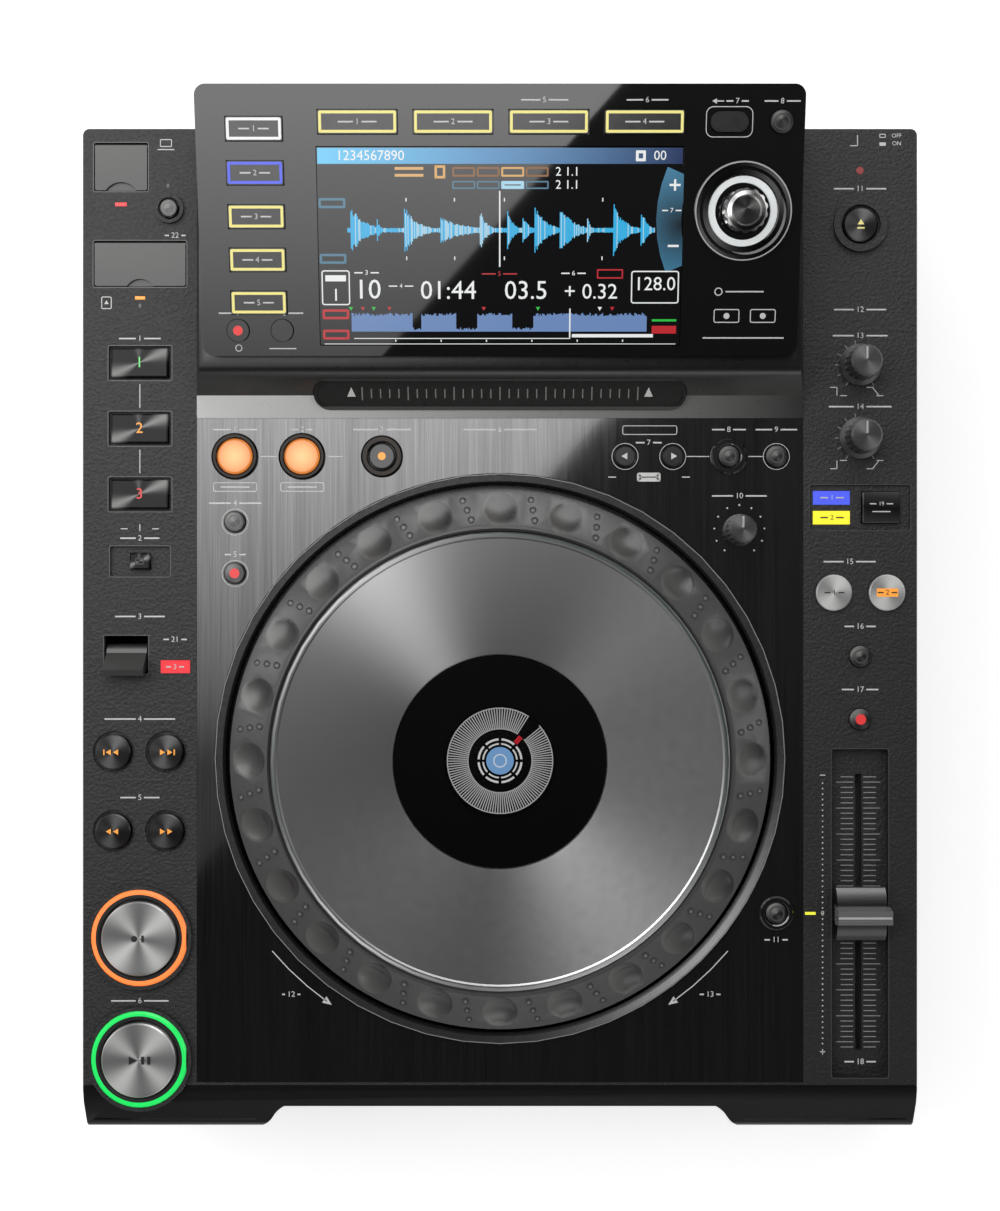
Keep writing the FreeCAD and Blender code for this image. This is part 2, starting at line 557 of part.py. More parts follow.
def display_housing():
    """Moulded wedge: the riser over the deck, the platform and the tilted box for the panel."""
    bottom = DECK_UNDER_Z
    front = DECK_REAR_Y + 0.1
    platform_z = RISER_Z + 1.5
    base = prism_x([(front, bottom), (front, TOP_Z), (FOLD_Y, FOLD_Z), (RISER_Y, RISER_Z),
                    (RISER_Y + 3, platform_z), (HOUSING_REAR_Y, platform_z), (HOUSING_REAR_Y, bottom)],
                   -DECK_HALF, DECK_HALF)
    tops = [panel_point(2.5, -PANEL_T), panel_point(PANEL_L - 2.0, -PANEL_T)]
    wedge = prism_x([(tops[0][0] + 1.0, platform_z - 1), tops[0], tops[1],
                     (HOUSING_REAR_Y, platform_z - 1)], -WEDGE_HALF, WEDGE_HALF)
    w = HOUSING_WALL
    room = slab(-DECK_HALF + w, DECK_HALF - w, RISER_Y + 5, HOUSING_REAR_Y - w, bottom - 1,
                platform_z - w)
    shaft = prism_x([(tops[0][0] + 1.0 + 2 * w, bottom), (tops[0][0] + 2 * w, tops[0][1] + 20),
                     (tops[1][0] - w - 2, tops[1][1] + 20), (tops[1][0] - w - 2, tops[1][1] - 3),
                     (HOUSING_REAR_Y - 2 * w, platform_z - w - 1), (HOUSING_REAR_Y - 2 * w, bottom)],
                    -WEDGE_HALF + w, WEDGE_HALF - w)
    key_room = on_panel(slab(-WEDGE_HALF + 1.6, WEDGE_HALF - 1.6, 3.7, PANEL_L - 6, -PANEL_T - 8, -PANEL_T + 1))
    pocket = on_strip(capsule(0, 0, STRIP_W + 2 * SEAT_GAP, STRIP_D + 2 * SEAT_GAP, -2.0, 30))
    drafts = [prism_y_side(s, platform_z) for s in (-1, 1)]
    return base.fuse(wedge).cut([room, shaft, key_room, pocket] + drafts).removeSplitter()


def prism_y_side(s, top_z):
    """The wedge of air that gives the platform's sides their draft."""
    loop = [Vector(s * DECK_HALF, 0, TOP_Z + 0.5), Vector(s * (DECK_HALF - 3.2), 0, top_z + 0.1),
            Vector(s * (DECK_HALF + 1), 0, top_z + 0.1)]
    return Part.Face(Part.makePolygon(loop + loop[:1])).extrude(Vector(0, REAR_Y + 20, 0))


PANEL_ROUND_KEYS = {
    "quantize": (SOURCE_X - 8.0, QUANTIZE_V, SMALL_KEY_R),
    "time_mode": (SOURCE_X + 8.3, QUANTIZE_V, SMALL_KEY_R),
    "tag_track_button": (TAG_X, MENU_V, SMALL_KEY_R),
}


def source_places():
    return [(SOURCE_X, SOURCE_V + i * SOURCE_PITCH) for i in range(5)]


def menu_places():
    return [(MENU_X + i * MENU_PITCH, MENU_V) for i in range(4)]


def display_panel():
    """Glossy tilted front panel with the screen window, the key windows and the selector dish."""
    plate = rounded(0, PANEL_L / 2, PANEL_W, PANEL_L, 4.0, -PANEL_T, 0)
    dish = turned(SELECTOR_X, SELECTOR_V,
                  [(SELECTOR_LENS_R + SEAT_GAP, -0.5), (SELECTOR_DISH_R, -0.5), (SELECTOR_DISH_R, 0.7),
                   (SELECTOR_DISH_R - 1.2, 1.5), (SELECTOR_DISH_R - 2.2, 1.5),
                   (SELECTOR_LENS_R + SEAT_GAP, 0.5)])
    hub = ring(SELECTOR_X, SELECTOR_V, SELECTOR_LENS_IN_R - SEAT_GAP, SELECTOR_SHAFT_R + RUNNING,
               -PANEL_T, 0)
    cuts = [block(0, LCD_V, LCD_W + 2 * SEAT_GAP, LCD_D + 2 * SEAT_GAP, -PANEL_T - 1, 1),
            ring(SELECTOR_X, SELECTOR_V, SELECTOR_LENS_R + SEAT_GAP, SELECTOR_LENS_IN_R - SEAT_GAP,
                 -1.4, 1),
            rod(SELECTOR_X, SELECTOR_V, SELECTOR_SHAFT_R + RUNNING, -PANEL_T - 1, 1),
            capsule(BACK_X, MENU_V, BACK_W + 2 * KEY_GAP, BACK_D + 2 * KEY_GAP, -PANEL_T - 1, 1)]
    for x, v in source_places():
        cuts.append(block(x, v, SOURCE_W + 2 * KEY_GAP, SOURCE_D + 2 * KEY_GAP, -PANEL_T - 1, 1))
    for x, v in menu_places():
        cuts.append(block(x, v, MENU_W + 2 * KEY_GAP, MENU_D + 2 * KEY_GAP, -PANEL_T - 1, 1))
    for x, v, r in PANEL_ROUND_KEYS.values():
        cuts.append(rod(x, v, r + KEY_GAP, -PANEL_T - 1, 1))
    return on_panel(plate.cut(cuts).multiFuse([dish, hub]).removeSplitter())


def lcd_module():
    glass = block(0, LCD_V, LCD_W, LCD_D, -PANEL_T, -0.15)
    frame = block(0, LCD_V, LCD_W + 8, LCD_D, -PANEL_T - 6, -PANEL_T)
    return on_panel(joined([glass, frame]))


def needle_search_strip():
    """Touch strip: a capsule frame with the pad lying a little lower inside it."""
    frame = capsule(0, 0, STRIP_W, STRIP_D, -2.0, 0.6)
    dip = capsule(0, 0, STRIP_W - 2.4, STRIP_D - 2.4, 0.1, 2)
    return on_strip(frame.cut(dip))


def jog_base():
    """Fixed dish under the jog wheel, with its bezel and the hollow bearing post."""
    r_in = JOG_RECESS_R - BEZEL_W
    bezel_top = TOP_Z + 1.2
    outline = [(POST_BORE_R, JOG_FLOOR_Z), (JOG_RECESS_R, JOG_FLOOR_Z), (JOG_RECESS_R, bezel_top - 0.8),
               (JOG_RECESS_R - 0.8, bezel_top), (r_in + 1.0, bezel_top - 0.2), (r_in, TOP_Z - 1.0),
               (r_in, JOG_FLOOR_Z + 3), (POST_R, JOG_FLOOR_Z + 3), (POST_R, PLATTER_Z - 5),
               (POST_BORE_R, PLATTER_Z - 5)]
    return turned(0, JOG_Y, outline)


def jog_display():
    """Round fluorescent display held in the hollow post, seen through the window."""
    top = PLATTER_Z - PLATTER_T - JOG_TRAVEL - 1.0
    r = POST_BORE_R - 0.1
    return turned(0, JOG_Y, [(0, JOG_FLOOR_Z), (r - 4, JOG_FLOOR_Z), (r - 4, top - 7), (r, top - 7),
                             (r, top - 0.6), (r - 0.6, top), (0, top)])


def jog_dial():
    """Outer ring of the jog wheel with finger dimples and dots, on a hub that runs on the post."""
    z0 = JOG_FLOOR_Z + 3.3
    web = JOG_FLOOR_Z + 5.5
    skirt = DIAL_R - 2.0
    hub_top = PLATTER_Z - 7.5
    outline = [(POST_R + RUNNING, z0), (DIAL_R, z0), (DIAL_R, DIAL_EDGE_Z - 0.6),
               (DIAL_R - 0.8, DIAL_EDGE_Z), (DIAL_RIM_R + 1.6, DIAL_RIM_Z - 0.5),
               (DIAL_RIM_R + 1.0, DIAL_RIM_Z), (DIAL_RIM_R, DIAL_RIM_Z), (DIAL_RIM_R - 0.9, DIAL_RIM_Z - 0.9),
               (DIAL_RIM_R - 0.9, PLATTER_Z - PLATTER_T - 6), (skirt - 6, web + 2.5), (skirt - 6, web),
               (POST_R + 4, web), (POST_R + 4, hub_top), (POST_R + RUNNING, hub_top)]
    ring_solid = turned(0, JOG_Y, outline)
    slope = math.atan2(DIAL_RIM_Z - DIAL_EDGE_Z, DIAL_R - 0.8 - DIAL_RIM_R - 1.6)
    face_z = DIAL_EDGE_Z + (DIAL_R - 0.8 - DIMPLE_R) * math.tan(slope)
    cuts = []
    dots = []
    ball_r = 18.0
    for i in range(DIMPLES):
        angle = 360.0 / DIMPLES * i + 90
        ball = Part.makeSphere(ball_r, Vector(DIMPLE_R + ball_r * 0.92 * math.sin(slope), 0,
                                              face_z + ball_r * 0.92 * math.cos(slope)))
        cuts.append(about_jog(ball, angle))
        for k in (-1, 0, 1):
            r = DIMPLE_R + 0.3 + 3.9 * k
            z = DIAL_EDGE_Z + (DIAL_R - 0.8 - r) * math.tan(slope)
            cone = Part.makeCone(1.5, 0.9, 1.5, Vector(r, 0, z - 0.9))
            dots.append(about_jog(cone, angle + 7.5 + 0.7 * k))
    return ring_solid.cut(cuts).fuse(dots).removeSplitter()


def about_jog(shape, angle):
    shape.rotate(Vector(0, 0, 0), Vector(0, 0, 1), angle)
    shape.translate(Vector(0, JOG_Y, 0))
    return shape


def jog_platter():
    """Spun touch plate in the dial, with a raised lip and a seat for the window."""
    under = PLATTER_Z - PLATTER_T
    seat = PLATTER_Z - 2.2
    outline = [(LABEL_R - 3, under - 1.2), (LABEL_R + 6, under - 1.2), (LABEL_R + 6, under),
               (PLATTER_R - 6, under), (PLATTER_R - 6, under - 4), (PLATTER_R - 4, under - 4),
               (PLATTER_R - 4, under), (PLATTER_R, under), (PLATTER_R, PLATTER_Z - 0.6),
               (PLATTER_R - 0.6, PLATTER_Z), (PLATTER_R - 2.0, PLATTER_Z), (PLATTER_R - 2.6, PLATTER_Z - 0.5),
               (LABEL_R + SEAT_GAP, PLATTER_Z - 0.5), (LABEL_R + SEAT_GAP, seat), (LABEL_R - 3, seat)]
    return turned(0, JOG_Y, outline)


def jog_window():
    seat = PLATTER_Z - 2.2
    return turned(0, JOG_Y, [(0, seat), (LABEL_R, seat), (LABEL_R, PLATTER_Z - 0.9),
                             (LABEL_R - 0.4, PLATTER_Z - 0.5), (0, PLATTER_Z - 0.5)])


def lens_solids():
    """Places cut in the cover for its small windows; each light guide fills one of them."""
    z0, z1 = COVER_UNDER_Z - 0.5, TOP_Z + 0.2
    return [rod(FLANK_X, STANDBY_Y, 1.5, z0, z1),
            block(USB_X, USB_Y - USB_D / 2 - 5.4, 4.6, 1.6, z0, z1),
            block(-FLANK_X, SD_Y - SD_D / 2 - 4.6, 4.0, 1.4, z0, z1),
            block(FLANK_X - 10.8, JOG_MODE_Y + 3.8, JOG_MODE_W, 5.4, z0, z1),
            block(FLANK_X - 10.8, JOG_MODE_Y - 3.8, JOG_MODE_W, 5.3, z0, z1),
            block(-FLANK_X + 13.5, DIRECTION_Y - 4.6, 11.4, 5.1, z0, z1),
            block(FLANK_X - 19.0, FADER_Y, 4.2, 1.2, z0, z1)]


def light_guides():
    """Clear lenses: key rings, selector ring, lamps and lit name plates, each in its window."""
    lamps = [rod(FLANK_X, STANDBY_Y, 1.4, COVER_UNDER_Z - 0.4, TOP_Z + 0.1)]
    for solid in lens_solids()[1:]:
        box = solid.BoundBox
        lamps.append(slab(box.XMin + 0.1, box.XMax - 0.1, box.YMin + 0.1, box.YMax - 0.1,
                          COVER_UNDER_Z - 0.4, TOP_Z - 0.7 if box.XMax > FLANK_X - 5 else TOP_Z + 0.1))
    for y in (CUE_Y, PLAY_Y):
        lamps.append(turned(-FLANK_X, y, [(TRANSPORT_R + 0.9, TOP_Z - 1.2), (TRANSPORT_LENS_R, TOP_Z - 1.2),
                                          (TRANSPORT_LENS_R, TOP_Z + 1.2), (TRANSPORT_LENS_R - 0.8, TOP_Z + 2.0),
                                          (TRANSPORT_R + 1.5, TOP_Z + 2.0), (TRANSPORT_R + 0.9, TOP_Z + 1.4)]))
    lamps.append(on_panel(turned(SELECTOR_X, SELECTOR_V,
                                 [(SELECTOR_LENS_IN_R, -1.4), (SELECTOR_LENS_R, -1.4), (SELECTOR_LENS_R, 0.7),
                                  (SELECTOR_LENS_IN_R, 0.7)])))
    return grouped(lamps)


def tempo_fader():
    """Slide control under the recess: an open channel in which the slider runs."""
    top = TOP_Z - FADER_RECESS_DEPTH - COVER_T
    length = 2 * FADER_TRAVEL + FADER_STEM_L + 24
    case = block(FLANK_X, FADER_Y, 13, length, top - 12, top)
    channel = block(FLANK_X, FADER_Y, 9, length - 6, top - 10.5, top - 1.5)
    slot = block(FLANK_X, FADER_Y, FADER_STEM_W + 0.8, length - 12, top - 2, top + 1)
    return case.cut([channel, slot])


def tempo_knob():
    """Fader cap with its grip ridge, stem and the slider block inside the channel."""
    bottom = TOP_Z - FADER_RECESS_DEPTH + 0.8
    top = bottom + FADER_CAP_H
    half = FADER_CAP_L / 2
    side = [(-half, bottom), (half, bottom), (half, bottom + 3.4), (half - 2.2, bottom + 5.2),
            (3.2, bottom + 6.4), (2.2, top), (-2.2, top), (-3.2, bottom + 6.4),
            (-half + 2.2, bottom + 5.2), (-half, bottom + 3.4)]
    cap = prism_x([(FADER_Y + y, z) for y, z in side], FLANK_X - FADER_CAP_W / 2, FLANK_X + FADER_CAP_W / 2)
    ridge = prism_x([(FADER_Y - 3.6, bottom + 5.6), (FADER_Y + 3.6, bottom + 5.6),
                     (FADER_Y + 2.6, top + 0.01), (FADER_Y - 2.6, top + 0.01)],
                    FLANK_X - FADER_CAP_W / 2 - 0.9, FLANK_X + FADER_CAP_W / 2 + 0.9)
    line = block(FLANK_X, FADER_Y, FADER_CAP_W + 4, 0.9, top - 0.4, top + 1)
    channel_top = TOP_Z - FADER_RECESS_DEPTH - 2 * COVER_T + 1.1
    stem = block(FLANK_X, FADER_Y, FADER_STEM_W, FADER_STEM_L, channel_top - 3, bottom + 2)
    slider = block(FLANK_X, FADER_Y, 8.4, FADER_STEM_L + 4, channel_top - 8.4, channel_top - 0.3)
    return joined([cap, ridge, stem, slider]).cut(line)


def round_key(x, y, r, under_z, proud):
    """Turned key: domed cap above, flange below that holds it in its hole."""
    top = TOP_Z + proud
    flange_top = under_z - SEAT_GAP
    bevel = min(0.5, r / 6)
    flange_r = r + KEY_FLANGE
    return turned(x, y, [(0, flange_top - KEY_FLANGE_T), (flange_r, flange_top - KEY_FLANGE_T),
                         (flange_r, flange_top), (r, flange_top), (r, top - bevel), (r - bevel, top),
                         (0, top)])


def block_key(x, y, w, d, proud):
    flange_top = COVER_UNDER_Z - SEAT_GAP
    flange = block(x, y, w + 2 * KEY_FLANGE, d + 2 * KEY_FLANGE, flange_top - KEY_FLANGE_T, flange_top)
    cap = rounded(x, y, w, d, 0.5, flange_top - 0.1, TOP_Z + proud)
    edges = [e for e in cap.Edges if e.BoundBox.ZMin > TOP_Z + proud - 0.01]
    return cap.makeChamfer(0.45, edges).fuse(flange).removeSplitter()


def dished_key(x, y, r, proud):
    """Large transport key, with a shallow dish in its spun metal face."""
    key = round_key(x, y, r, COVER_UNDER_Z, proud)
    ball_r = 160.0
    dip = 0.5
    return key.cut(Part.makeSphere(ball_r, Vector(x, y, TOP_Z + proud + ball_r - dip)))


def panel_key(x, v, w, d, proud):
    cap = rounded(x, v, w, d, 0.6, -PANEL_T - 0.4, proud)
    flange = block(x, v, w + 1.6, d + 1.6, -PANEL_T - 1.4, -PANEL_T - 0.3)
    return joined([cap, flange])


def panel_round_key(x, v, r):
    cap = rod(x, v, r, -PANEL_T - 0.4, 0.9)
    flange = rod(x, v, r + 0.8, -PANEL_T - 1.4, -PANEL_T - 0.3)
    return joined([cap, flange])


def knob(x, y, r, height, skirt_r):
    """Rotary knob: skirt, ribbed grip, pointer groove and shaft."""
    base = TOP_Z + 0.4
    body = turned(x, y, [(0, base), (skirt_r, base), (skirt_r, base + 1.0), (r + 0.5, base + 2.6),
                         (r, base + height - 0.8), (r - 0.8, base + height), (0, base + height)])
    cuts = []
    flutes = 18
    for i in range(flutes):
        a = 2 * math.pi * (i + 0.5) / flutes
        cuts.append(rod(x + (r + 0.75) * math.cos(a), y + (r + 0.75) * math.sin(a), 0.95,
                        base + 2.6, base + height + 1))
    cuts.append(block(x, y + r / 2, 0.9, r + 1, base + height - 0.5, base + height + 1))
    shaft = rod(x, y, FLANK_SHAFT_R, TOP_Z - 9.4, base + 1)
    return body.cut(cuts).fuse(shaft).removeSplitter()


def direction_lever():
    """Reverse lever: a drum across the slot with a paddle that leans forward or back."""
    z = LEVER_Z
    w = DIRECTION_W - 1.4
    drum = rod_x(DIRECTION_X, DIRECTION_Y, z, 4.2, w)
    lean = math.radians(-LEVER_LEAN)
    reach = 12.0
    a, c = math.sin(lean), math.cos(lean)
    outline = [(-3.4, 0), (3.4, 0), (1.4, reach), (-1.4, reach)]
    paddle = prism_x([(DIRECTION_Y + p * c + q * a, z - p * a + q * c) for p, q in outline],
                     DIRECTION_X - w / 2, DIRECTION_X + w / 2)
    pin = rod_x(DIRECTION_X, DIRECTION_Y, z, LEVER_PIN_R, DIRECTION_W + 2 * LEVER_EAR)
    return joined([drum, paddle, pin])


def media_door(x, y, w, d, notch_r):
    """Flip-up door with a thumb notch at the front; its round rear edge is the hinge barrel."""
    r = DOOR_T / 2
    x0 = x - w / 2
    front = y - d / 2
    axis_y, axis_z = y + d / 2 - r, TOP_Z - r
    low, high = Vector(x0, axis_y, axis_z - r), Vector(x0, axis_y, axis_z + r)
    front_low, front_high = Vector(x0, front, axis_z - r), Vector(x0, front, axis_z + r)
    edges = [Part.Arc(low, Vector(x0, axis_y + r, axis_z), high).toShape()]
    for start, end in ((high, front_high), (front_high, front_low), (front_low, low)):
        edges.append(Part.LineSegment(start, end).toShape())
    plate = Part.Face(Part.Wire(edges)).extrude(Vector(w, 0, 0))
    corners = [e for e in plate.Edges if e.BoundBox.YMax < front + 0.1 and e.BoundBox.ZLength > r]
    plate = plate.makeFillet(0.8, corners)
    pins = [rod_x(x + s * (w / 2 + DOOR_PIN_L / 2 - 0.5), axis_y, axis_z, DOOR_PIN_R, DOOR_PIN_L + 1.0)
            for s in (-1, 1)]
    notch = rod(x, front - notch_r * 0.55, notch_r, TOP_Z - DOOR_T + 0.8, TOP_Z + 2)
    return joined([plate] + pins).cut(notch)


def circuit_boards():
    """Boards under the keys, main board, power supply board, and the media sockets on them."""
    z1 = COVER_UNDER_Z - SEAT_GAP - KEY_FLANGE_T - KEY_TRAVEL - BOARD_GAP
    z0 = z1 - BOARD_T
    left = slab(-HALF + 8, -DECK_HALF - 3.6, PLAY_Y - 6, HOT_CUE_Y + 12, z0, z1)
    right = slab(DECK_HALF + 3.6, HALF - 8, TEMPO_RANGE_Y - 12.7, EJECT_Y + 14, z0, z1)
    left = left.cut(block(DIRECTION_X, DIRECTION_Y, DIRECTION_W + 6, DIRECTION_D + 6, z0 - 1, z1 + 1))
    holes = [rod(x, y, FLANK_SHAFT_R + 0.5, z0 - 1, z1 + 1) for x, y in FLANK_KNOBS.values()]
    right = right.cut(holes)
    main = slab(-100, 100, 20, REAR_Y - 36.8, TRAY_Z + 6, TRAY_Z + 6 + BOARD_T)
    supply = slab(-HALF + 11.8, -HALF + 51.8, 60, REAR_Y - 16.8, TRAY_Z + 6, TRAY_Z + 6 + BOARD_T)
    posts = [rod(x, y, 3, TRAY_Z, TRAY_Z + 6) for x in (-94, 94) for y in (26, REAR_Y - 42.8)]
    supply_x = -HALF + 31.8
    posts += [rod(supply_x - 14, y, 3, TRAY_Z, TRAY_Z + 6) for y in (66, REAR_Y - 22.8)]
    transformer = block(supply_x, 110, 28, 34, TRAY_Z + 6 + BOARD_T, TRAY_Z + 30)
    capacitor = rod(supply_x, 145, 9, TRAY_Z + 6 + BOARD_T, TRAY_Z + 34)
    key_under = DECK_UNDER_Z - SEAT_GAP - KEY_FLANGE_T - KEY_TRAVEL - BOARD_GAP
    deck = slab(-DECK_HALF + 2, DECK_HALF - 2, LOOP_Y - 5.3, DECK_REAR_Y - LEDGE + 0.8,
                key_under - BOARD_T, key_under)
    return grouped([left, right, deck, usb_socket(), sd_socket(), joined([main] + posts[:4]),
                    joined([supply, transformer, capacitor] + posts[4:])])


def usb_socket():
    """Upright socket for a memory stick, with its short tongue low in the shell."""
    top = TOP_Z - DOOR_T - 0.6
    x, y = USB_X, USB_Y - 1.5
    shell = block(x, y, 13.1, 5.7, top - 15, top)
    room = block(x, y, 12.1, 4.7, top - 14, top + 1)
    tongue = block(x, y + 1.0, 10, 1.6, top - 14.5, top - 6)
    return shell.cut(room).fuse(tongue)


def sd_socket():
    top = COVER_UNDER_Z - 0.2
    body = block(-FLANK_X, SD_Y - 1.5, 30, 8, top - 24, top)
    return body.cut(block(-FLANK_X, SD_Y - 1.5, 24.6, 2.5, top - 22, top + 1))


def disc_drive():
    """Slot-loading drive: thin case open at the front, on four stands."""
    y0 = FRONT_Y + RECESS_DEPTH + FASCIA_T + SEAT_GAP
    z0, z1 = SLOT_Z - 17, SLOT_Z + SLOT_H / 2 + 3
    case = slab(-DRIVE_W / 2, DRIVE_W / 2, y0, y0 + DRIVE_D, z0, z1)
    bay = slab(-SLOT_W / 2, SLOT_W / 2, y0 - 1, y0 + DISC_BAY_L, SLOT_Z - SLOT_H / 2, SLOT_Z + SLOT_H / 2)
    stands = [rod(x, y, 4, TRAY_Z, z0) for x in (-DRIVE_W / 2 + 8, DRIVE_W / 2 - 8)
              for y in (y0 + 12, y0 + DRIVE_D - 12)]
    return case.cut(bay).multiFuse(stands).removeSplitter()


def rear_connectors():
    """Phono jacks, control jack, network and host sockets and the mains inlet."""
    inner = REAR_INNER_Y
    solids = []
    for name in ("output_left", "output_right", "digital_out"):
        x, z, w, _ = REAR_HOLES[name]
        collar = rod_y(x, z, w / 2, inner - 12, REAR_Y + 1.2)
        sleeve = rod_y(x, z, JACK_SLEEVE_R, REAR_Y, REAR_Y + JACK_REACH)
        solids.append(collar.fuse(sleeve).cut(rod_y(x, z, 1.7, REAR_Y - 4, REAR_Y + JACK_REACH + 1)))
    x, z, w, _ = REAR_HOLES["control"]
    nut = rod_y(x, z, w / 2, inner - 12, REAR_Y + 1.2)
    solids.append(nut.cut(rod_y(x, z, 1.75, inner - 9, REAR_Y + 2)))
    sockets = {"lan": (11.9, 8.4), "usb_host": (8.6, 7.8), "inlet": (24.0, 16.0)}
    for name, (cw, ch) in sockets.items():
        x, z, w, h = REAR_HOLES[name]
        depth = 16.0
        body = slab(x - w / 2, x + w / 2, inner - depth - 2, REAR_Y + 0.8, z - h / 2, z + h / 2)
        room = slab(x - cw / 2, x + cw / 2, inner - depth, REAR_Y + 2, z - ch / 2, z + ch / 2)
        socket = body.cut(room)
        if name == "inlet":
            socket = socket.multiFuse([rod_y(x + s * 6.6, z, 1.2, inner - depth - 1, REAR_Y - 2)
                                       for s in (-1, 1)])
        if name == "usb_host":
            socket = socket.fuse(slab(x - 2.8, x + 2.8, inner - depth - 1, REAR_Y - 8, z - 1.6, z + 1.6))
        solids.append(socket)
    return grouped(solids)


def power_button():
    """Push-push mains key in the rear panel."""
    cap = rod_y(POWER_X, JACK_Z, POWER_KEY_R, REAR_INNER_Y - 6, REAR_Y + 4.0)
    flange = rod_y(POWER_X, JACK_Z, POWER_KEY_R + 1.2, REAR_INNER_Y - 1.5, REAR_INNER_Y - 0.3)
    return joined([cap, flange])


def selector_plunger():
    """Shaft of the selector, which is pressed along the panel's normal."""
    shaft = rod(SELECTOR_X, SELECTOR_V, SELECTOR_SHAFT_R, -PANEL_T - 6, 1.6)
    collar = rod(SELECTOR_X, SELECTOR_V, SELECTOR_SHAFT_R + 1.4, -PANEL_T - 1.6, -PANEL_T - 0.3)
    spigot = rod(SELECTOR_X, SELECTOR_V, 1.6, 1.0, SELECTOR_H - 5)
    return on_panel(joined([shaft, collar, spigot]))


def selector_knob():
    """Scalloped metal knob that turns on the plunger's spigot."""
    x, v = SELECTOR_X, SELECTOR_V
    body = turned(x, v, [(1.6 + RUNNING, 1.9), (SELECTOR_R, 1.9), (SELECTOR_R, SELECTOR_H - 1.4),
                         (SELECTOR_R - 1.0, SELECTOR_H - 0.3), (SELECTOR_R - 2.4, SELECTOR_H),
                         (SELECTOR_R - 3.0, SELECTOR_H - 0.6), (0, SELECTOR_H - 0.9),
                         (0, SELECTOR_H - 4.6), (1.6 + RUNNING, SELECTOR_H - 4.6)])
    scallops = []
    for i in range(14):
        a = 2 * math.pi * i / 14
        r = SELECTOR_R + 1.0
        scallops.append(rod(x + r * math.cos(a), v + r * math.sin(a), 1.6, 3.2, SELECTOR_H + 1))
    return on_panel(body.cut(scallops))


def rubber_feet():
    feet = []
    for sx in (-1, 1):
        for y in (FRONT_Y + 32, REAR_Y - 24):
            feet.append(turned(sx * (HALF - 26), y, [(0, 0), (11, 0), (12.4, 1.0), (13.4, FOOT_H), (0, FOOT_H)]))
    return grouped(feet)


def case_screws():
    return grouped([turned(x, y, [(0, FOOT_H - 1.2), (2.2, FOOT_H - 1.2), (3.0, FOOT_H), (1.5, FOOT_H),
                                  (1.5, FOOT_H + 7), (0, FOOT_H + 7)]) for x, y in tray_screw_places()])


def all_parts():
    parts = {
        "chassis": chassis(), "top_cover": top_cover(), "deck_plate": deck_plate(),
        "front_fascia": front_fascia(), "display_housing": display_housing(),
        "display_panel": display_panel(), "lcd_module": lcd_module(),
        "needle_search_strip": needle_search_strip(), "jog_base": jog_base(),
        "jog_display": jog_display(), "light_guides": light_guides(), "tempo_fader": tempo_fader(),
        "disc_drive": disc_drive(), "circuit_boards": circuit_boards(),
        "rear_connectors": rear_connectors(), "rubber_feet": rubber_feet(),
        "case_screws": case_screws(), "jog_dial": jog_dial(), "jog_platter": jog_platter(),
        "jog_window": jog_window(), "tempo_knob": tempo_knob(), "selector_knob": selector_knob(),
        "selector_plunger": selector_plunger(), "direction_lever": direction_lever(),
        "usb_door": media_door(USB_X, USB_Y, USB_W, USB_D, 7.0),
        "sd_door": media_door(-FLANK_X, SD_Y, SD_W, SD_D, 6.0), "power_button": power_button(),
        "jog_adjust_knob": knob(JOG_ADJUST_X, JOG_ADJUST_Y, JOG_ADJUST_R - 0.8, 10.0, JOG_ADJUST_R),
    }
    for name, (x, y) in FLANK_KNOBS.items():
        parts[name] = knob(x, y, FLANK_KNOB_R, FLANK_KNOB_H, FLANK_KNOB_R + 2)
    call = []
    for name, (x, y, r) in DECK_KEYS.items():
        key = round_key(x, y, r, DECK_UNDER_Z, KEY_PROUD)
        if name.startswith("call"):
            call.append(key)
        else:
            parts[name] = key
    parts["call_buttons"] = grouped(call)
    for name, (x, y, r) in COVER_KEYS.items():
        if r == TRANSPORT_R:
            parts[name] = dished_key(x, y, r, 3.2)
        else:
            parts[name] = round_key(x, y, r, COVER_UNDER_Z, KEY_PROUD)
    for name, (x, y, w, d) in COVER_BLOCK_KEYS.items():
        parts[name] = block_key(x, y, w, d, 1.0)
    parts["menu_keys"] = on_panel(grouped([panel_key(x, v, MENU_W, MENU_D, 0.8) for x, v in menu_places()]))
    source = [panel_key(x, v, SOURCE_W, SOURCE_D, 0.8) for x, v in source_places()]
    source += [panel_round_key(*PANEL_ROUND_KEYS[k]) for k in ("quantize", "time_mode")]
    parts["source_keys"] = on_panel(grouped(source))
    parts["tag_track_button"] = on_panel(panel_round_key(*PANEL_ROUND_KEYS["tag_track_button"]))
    back = joined([capsule(BACK_X, MENU_V, BACK_W, BACK_D, -PANEL_T - 0.4, 0.8),
                   block(BACK_X, MENU_V, BACK_W + 1.6, BACK_D + 1.6, -PANEL_T - 1.4, -PANEL_T - 0.3)])
    parts["back_button"] = on_panel(back)
    return parts


for node, shape in all_parts().items():
    assert shape.isValid(), node
    shape.exportStep(f"parts/{node}.step")
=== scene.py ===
import math
import random

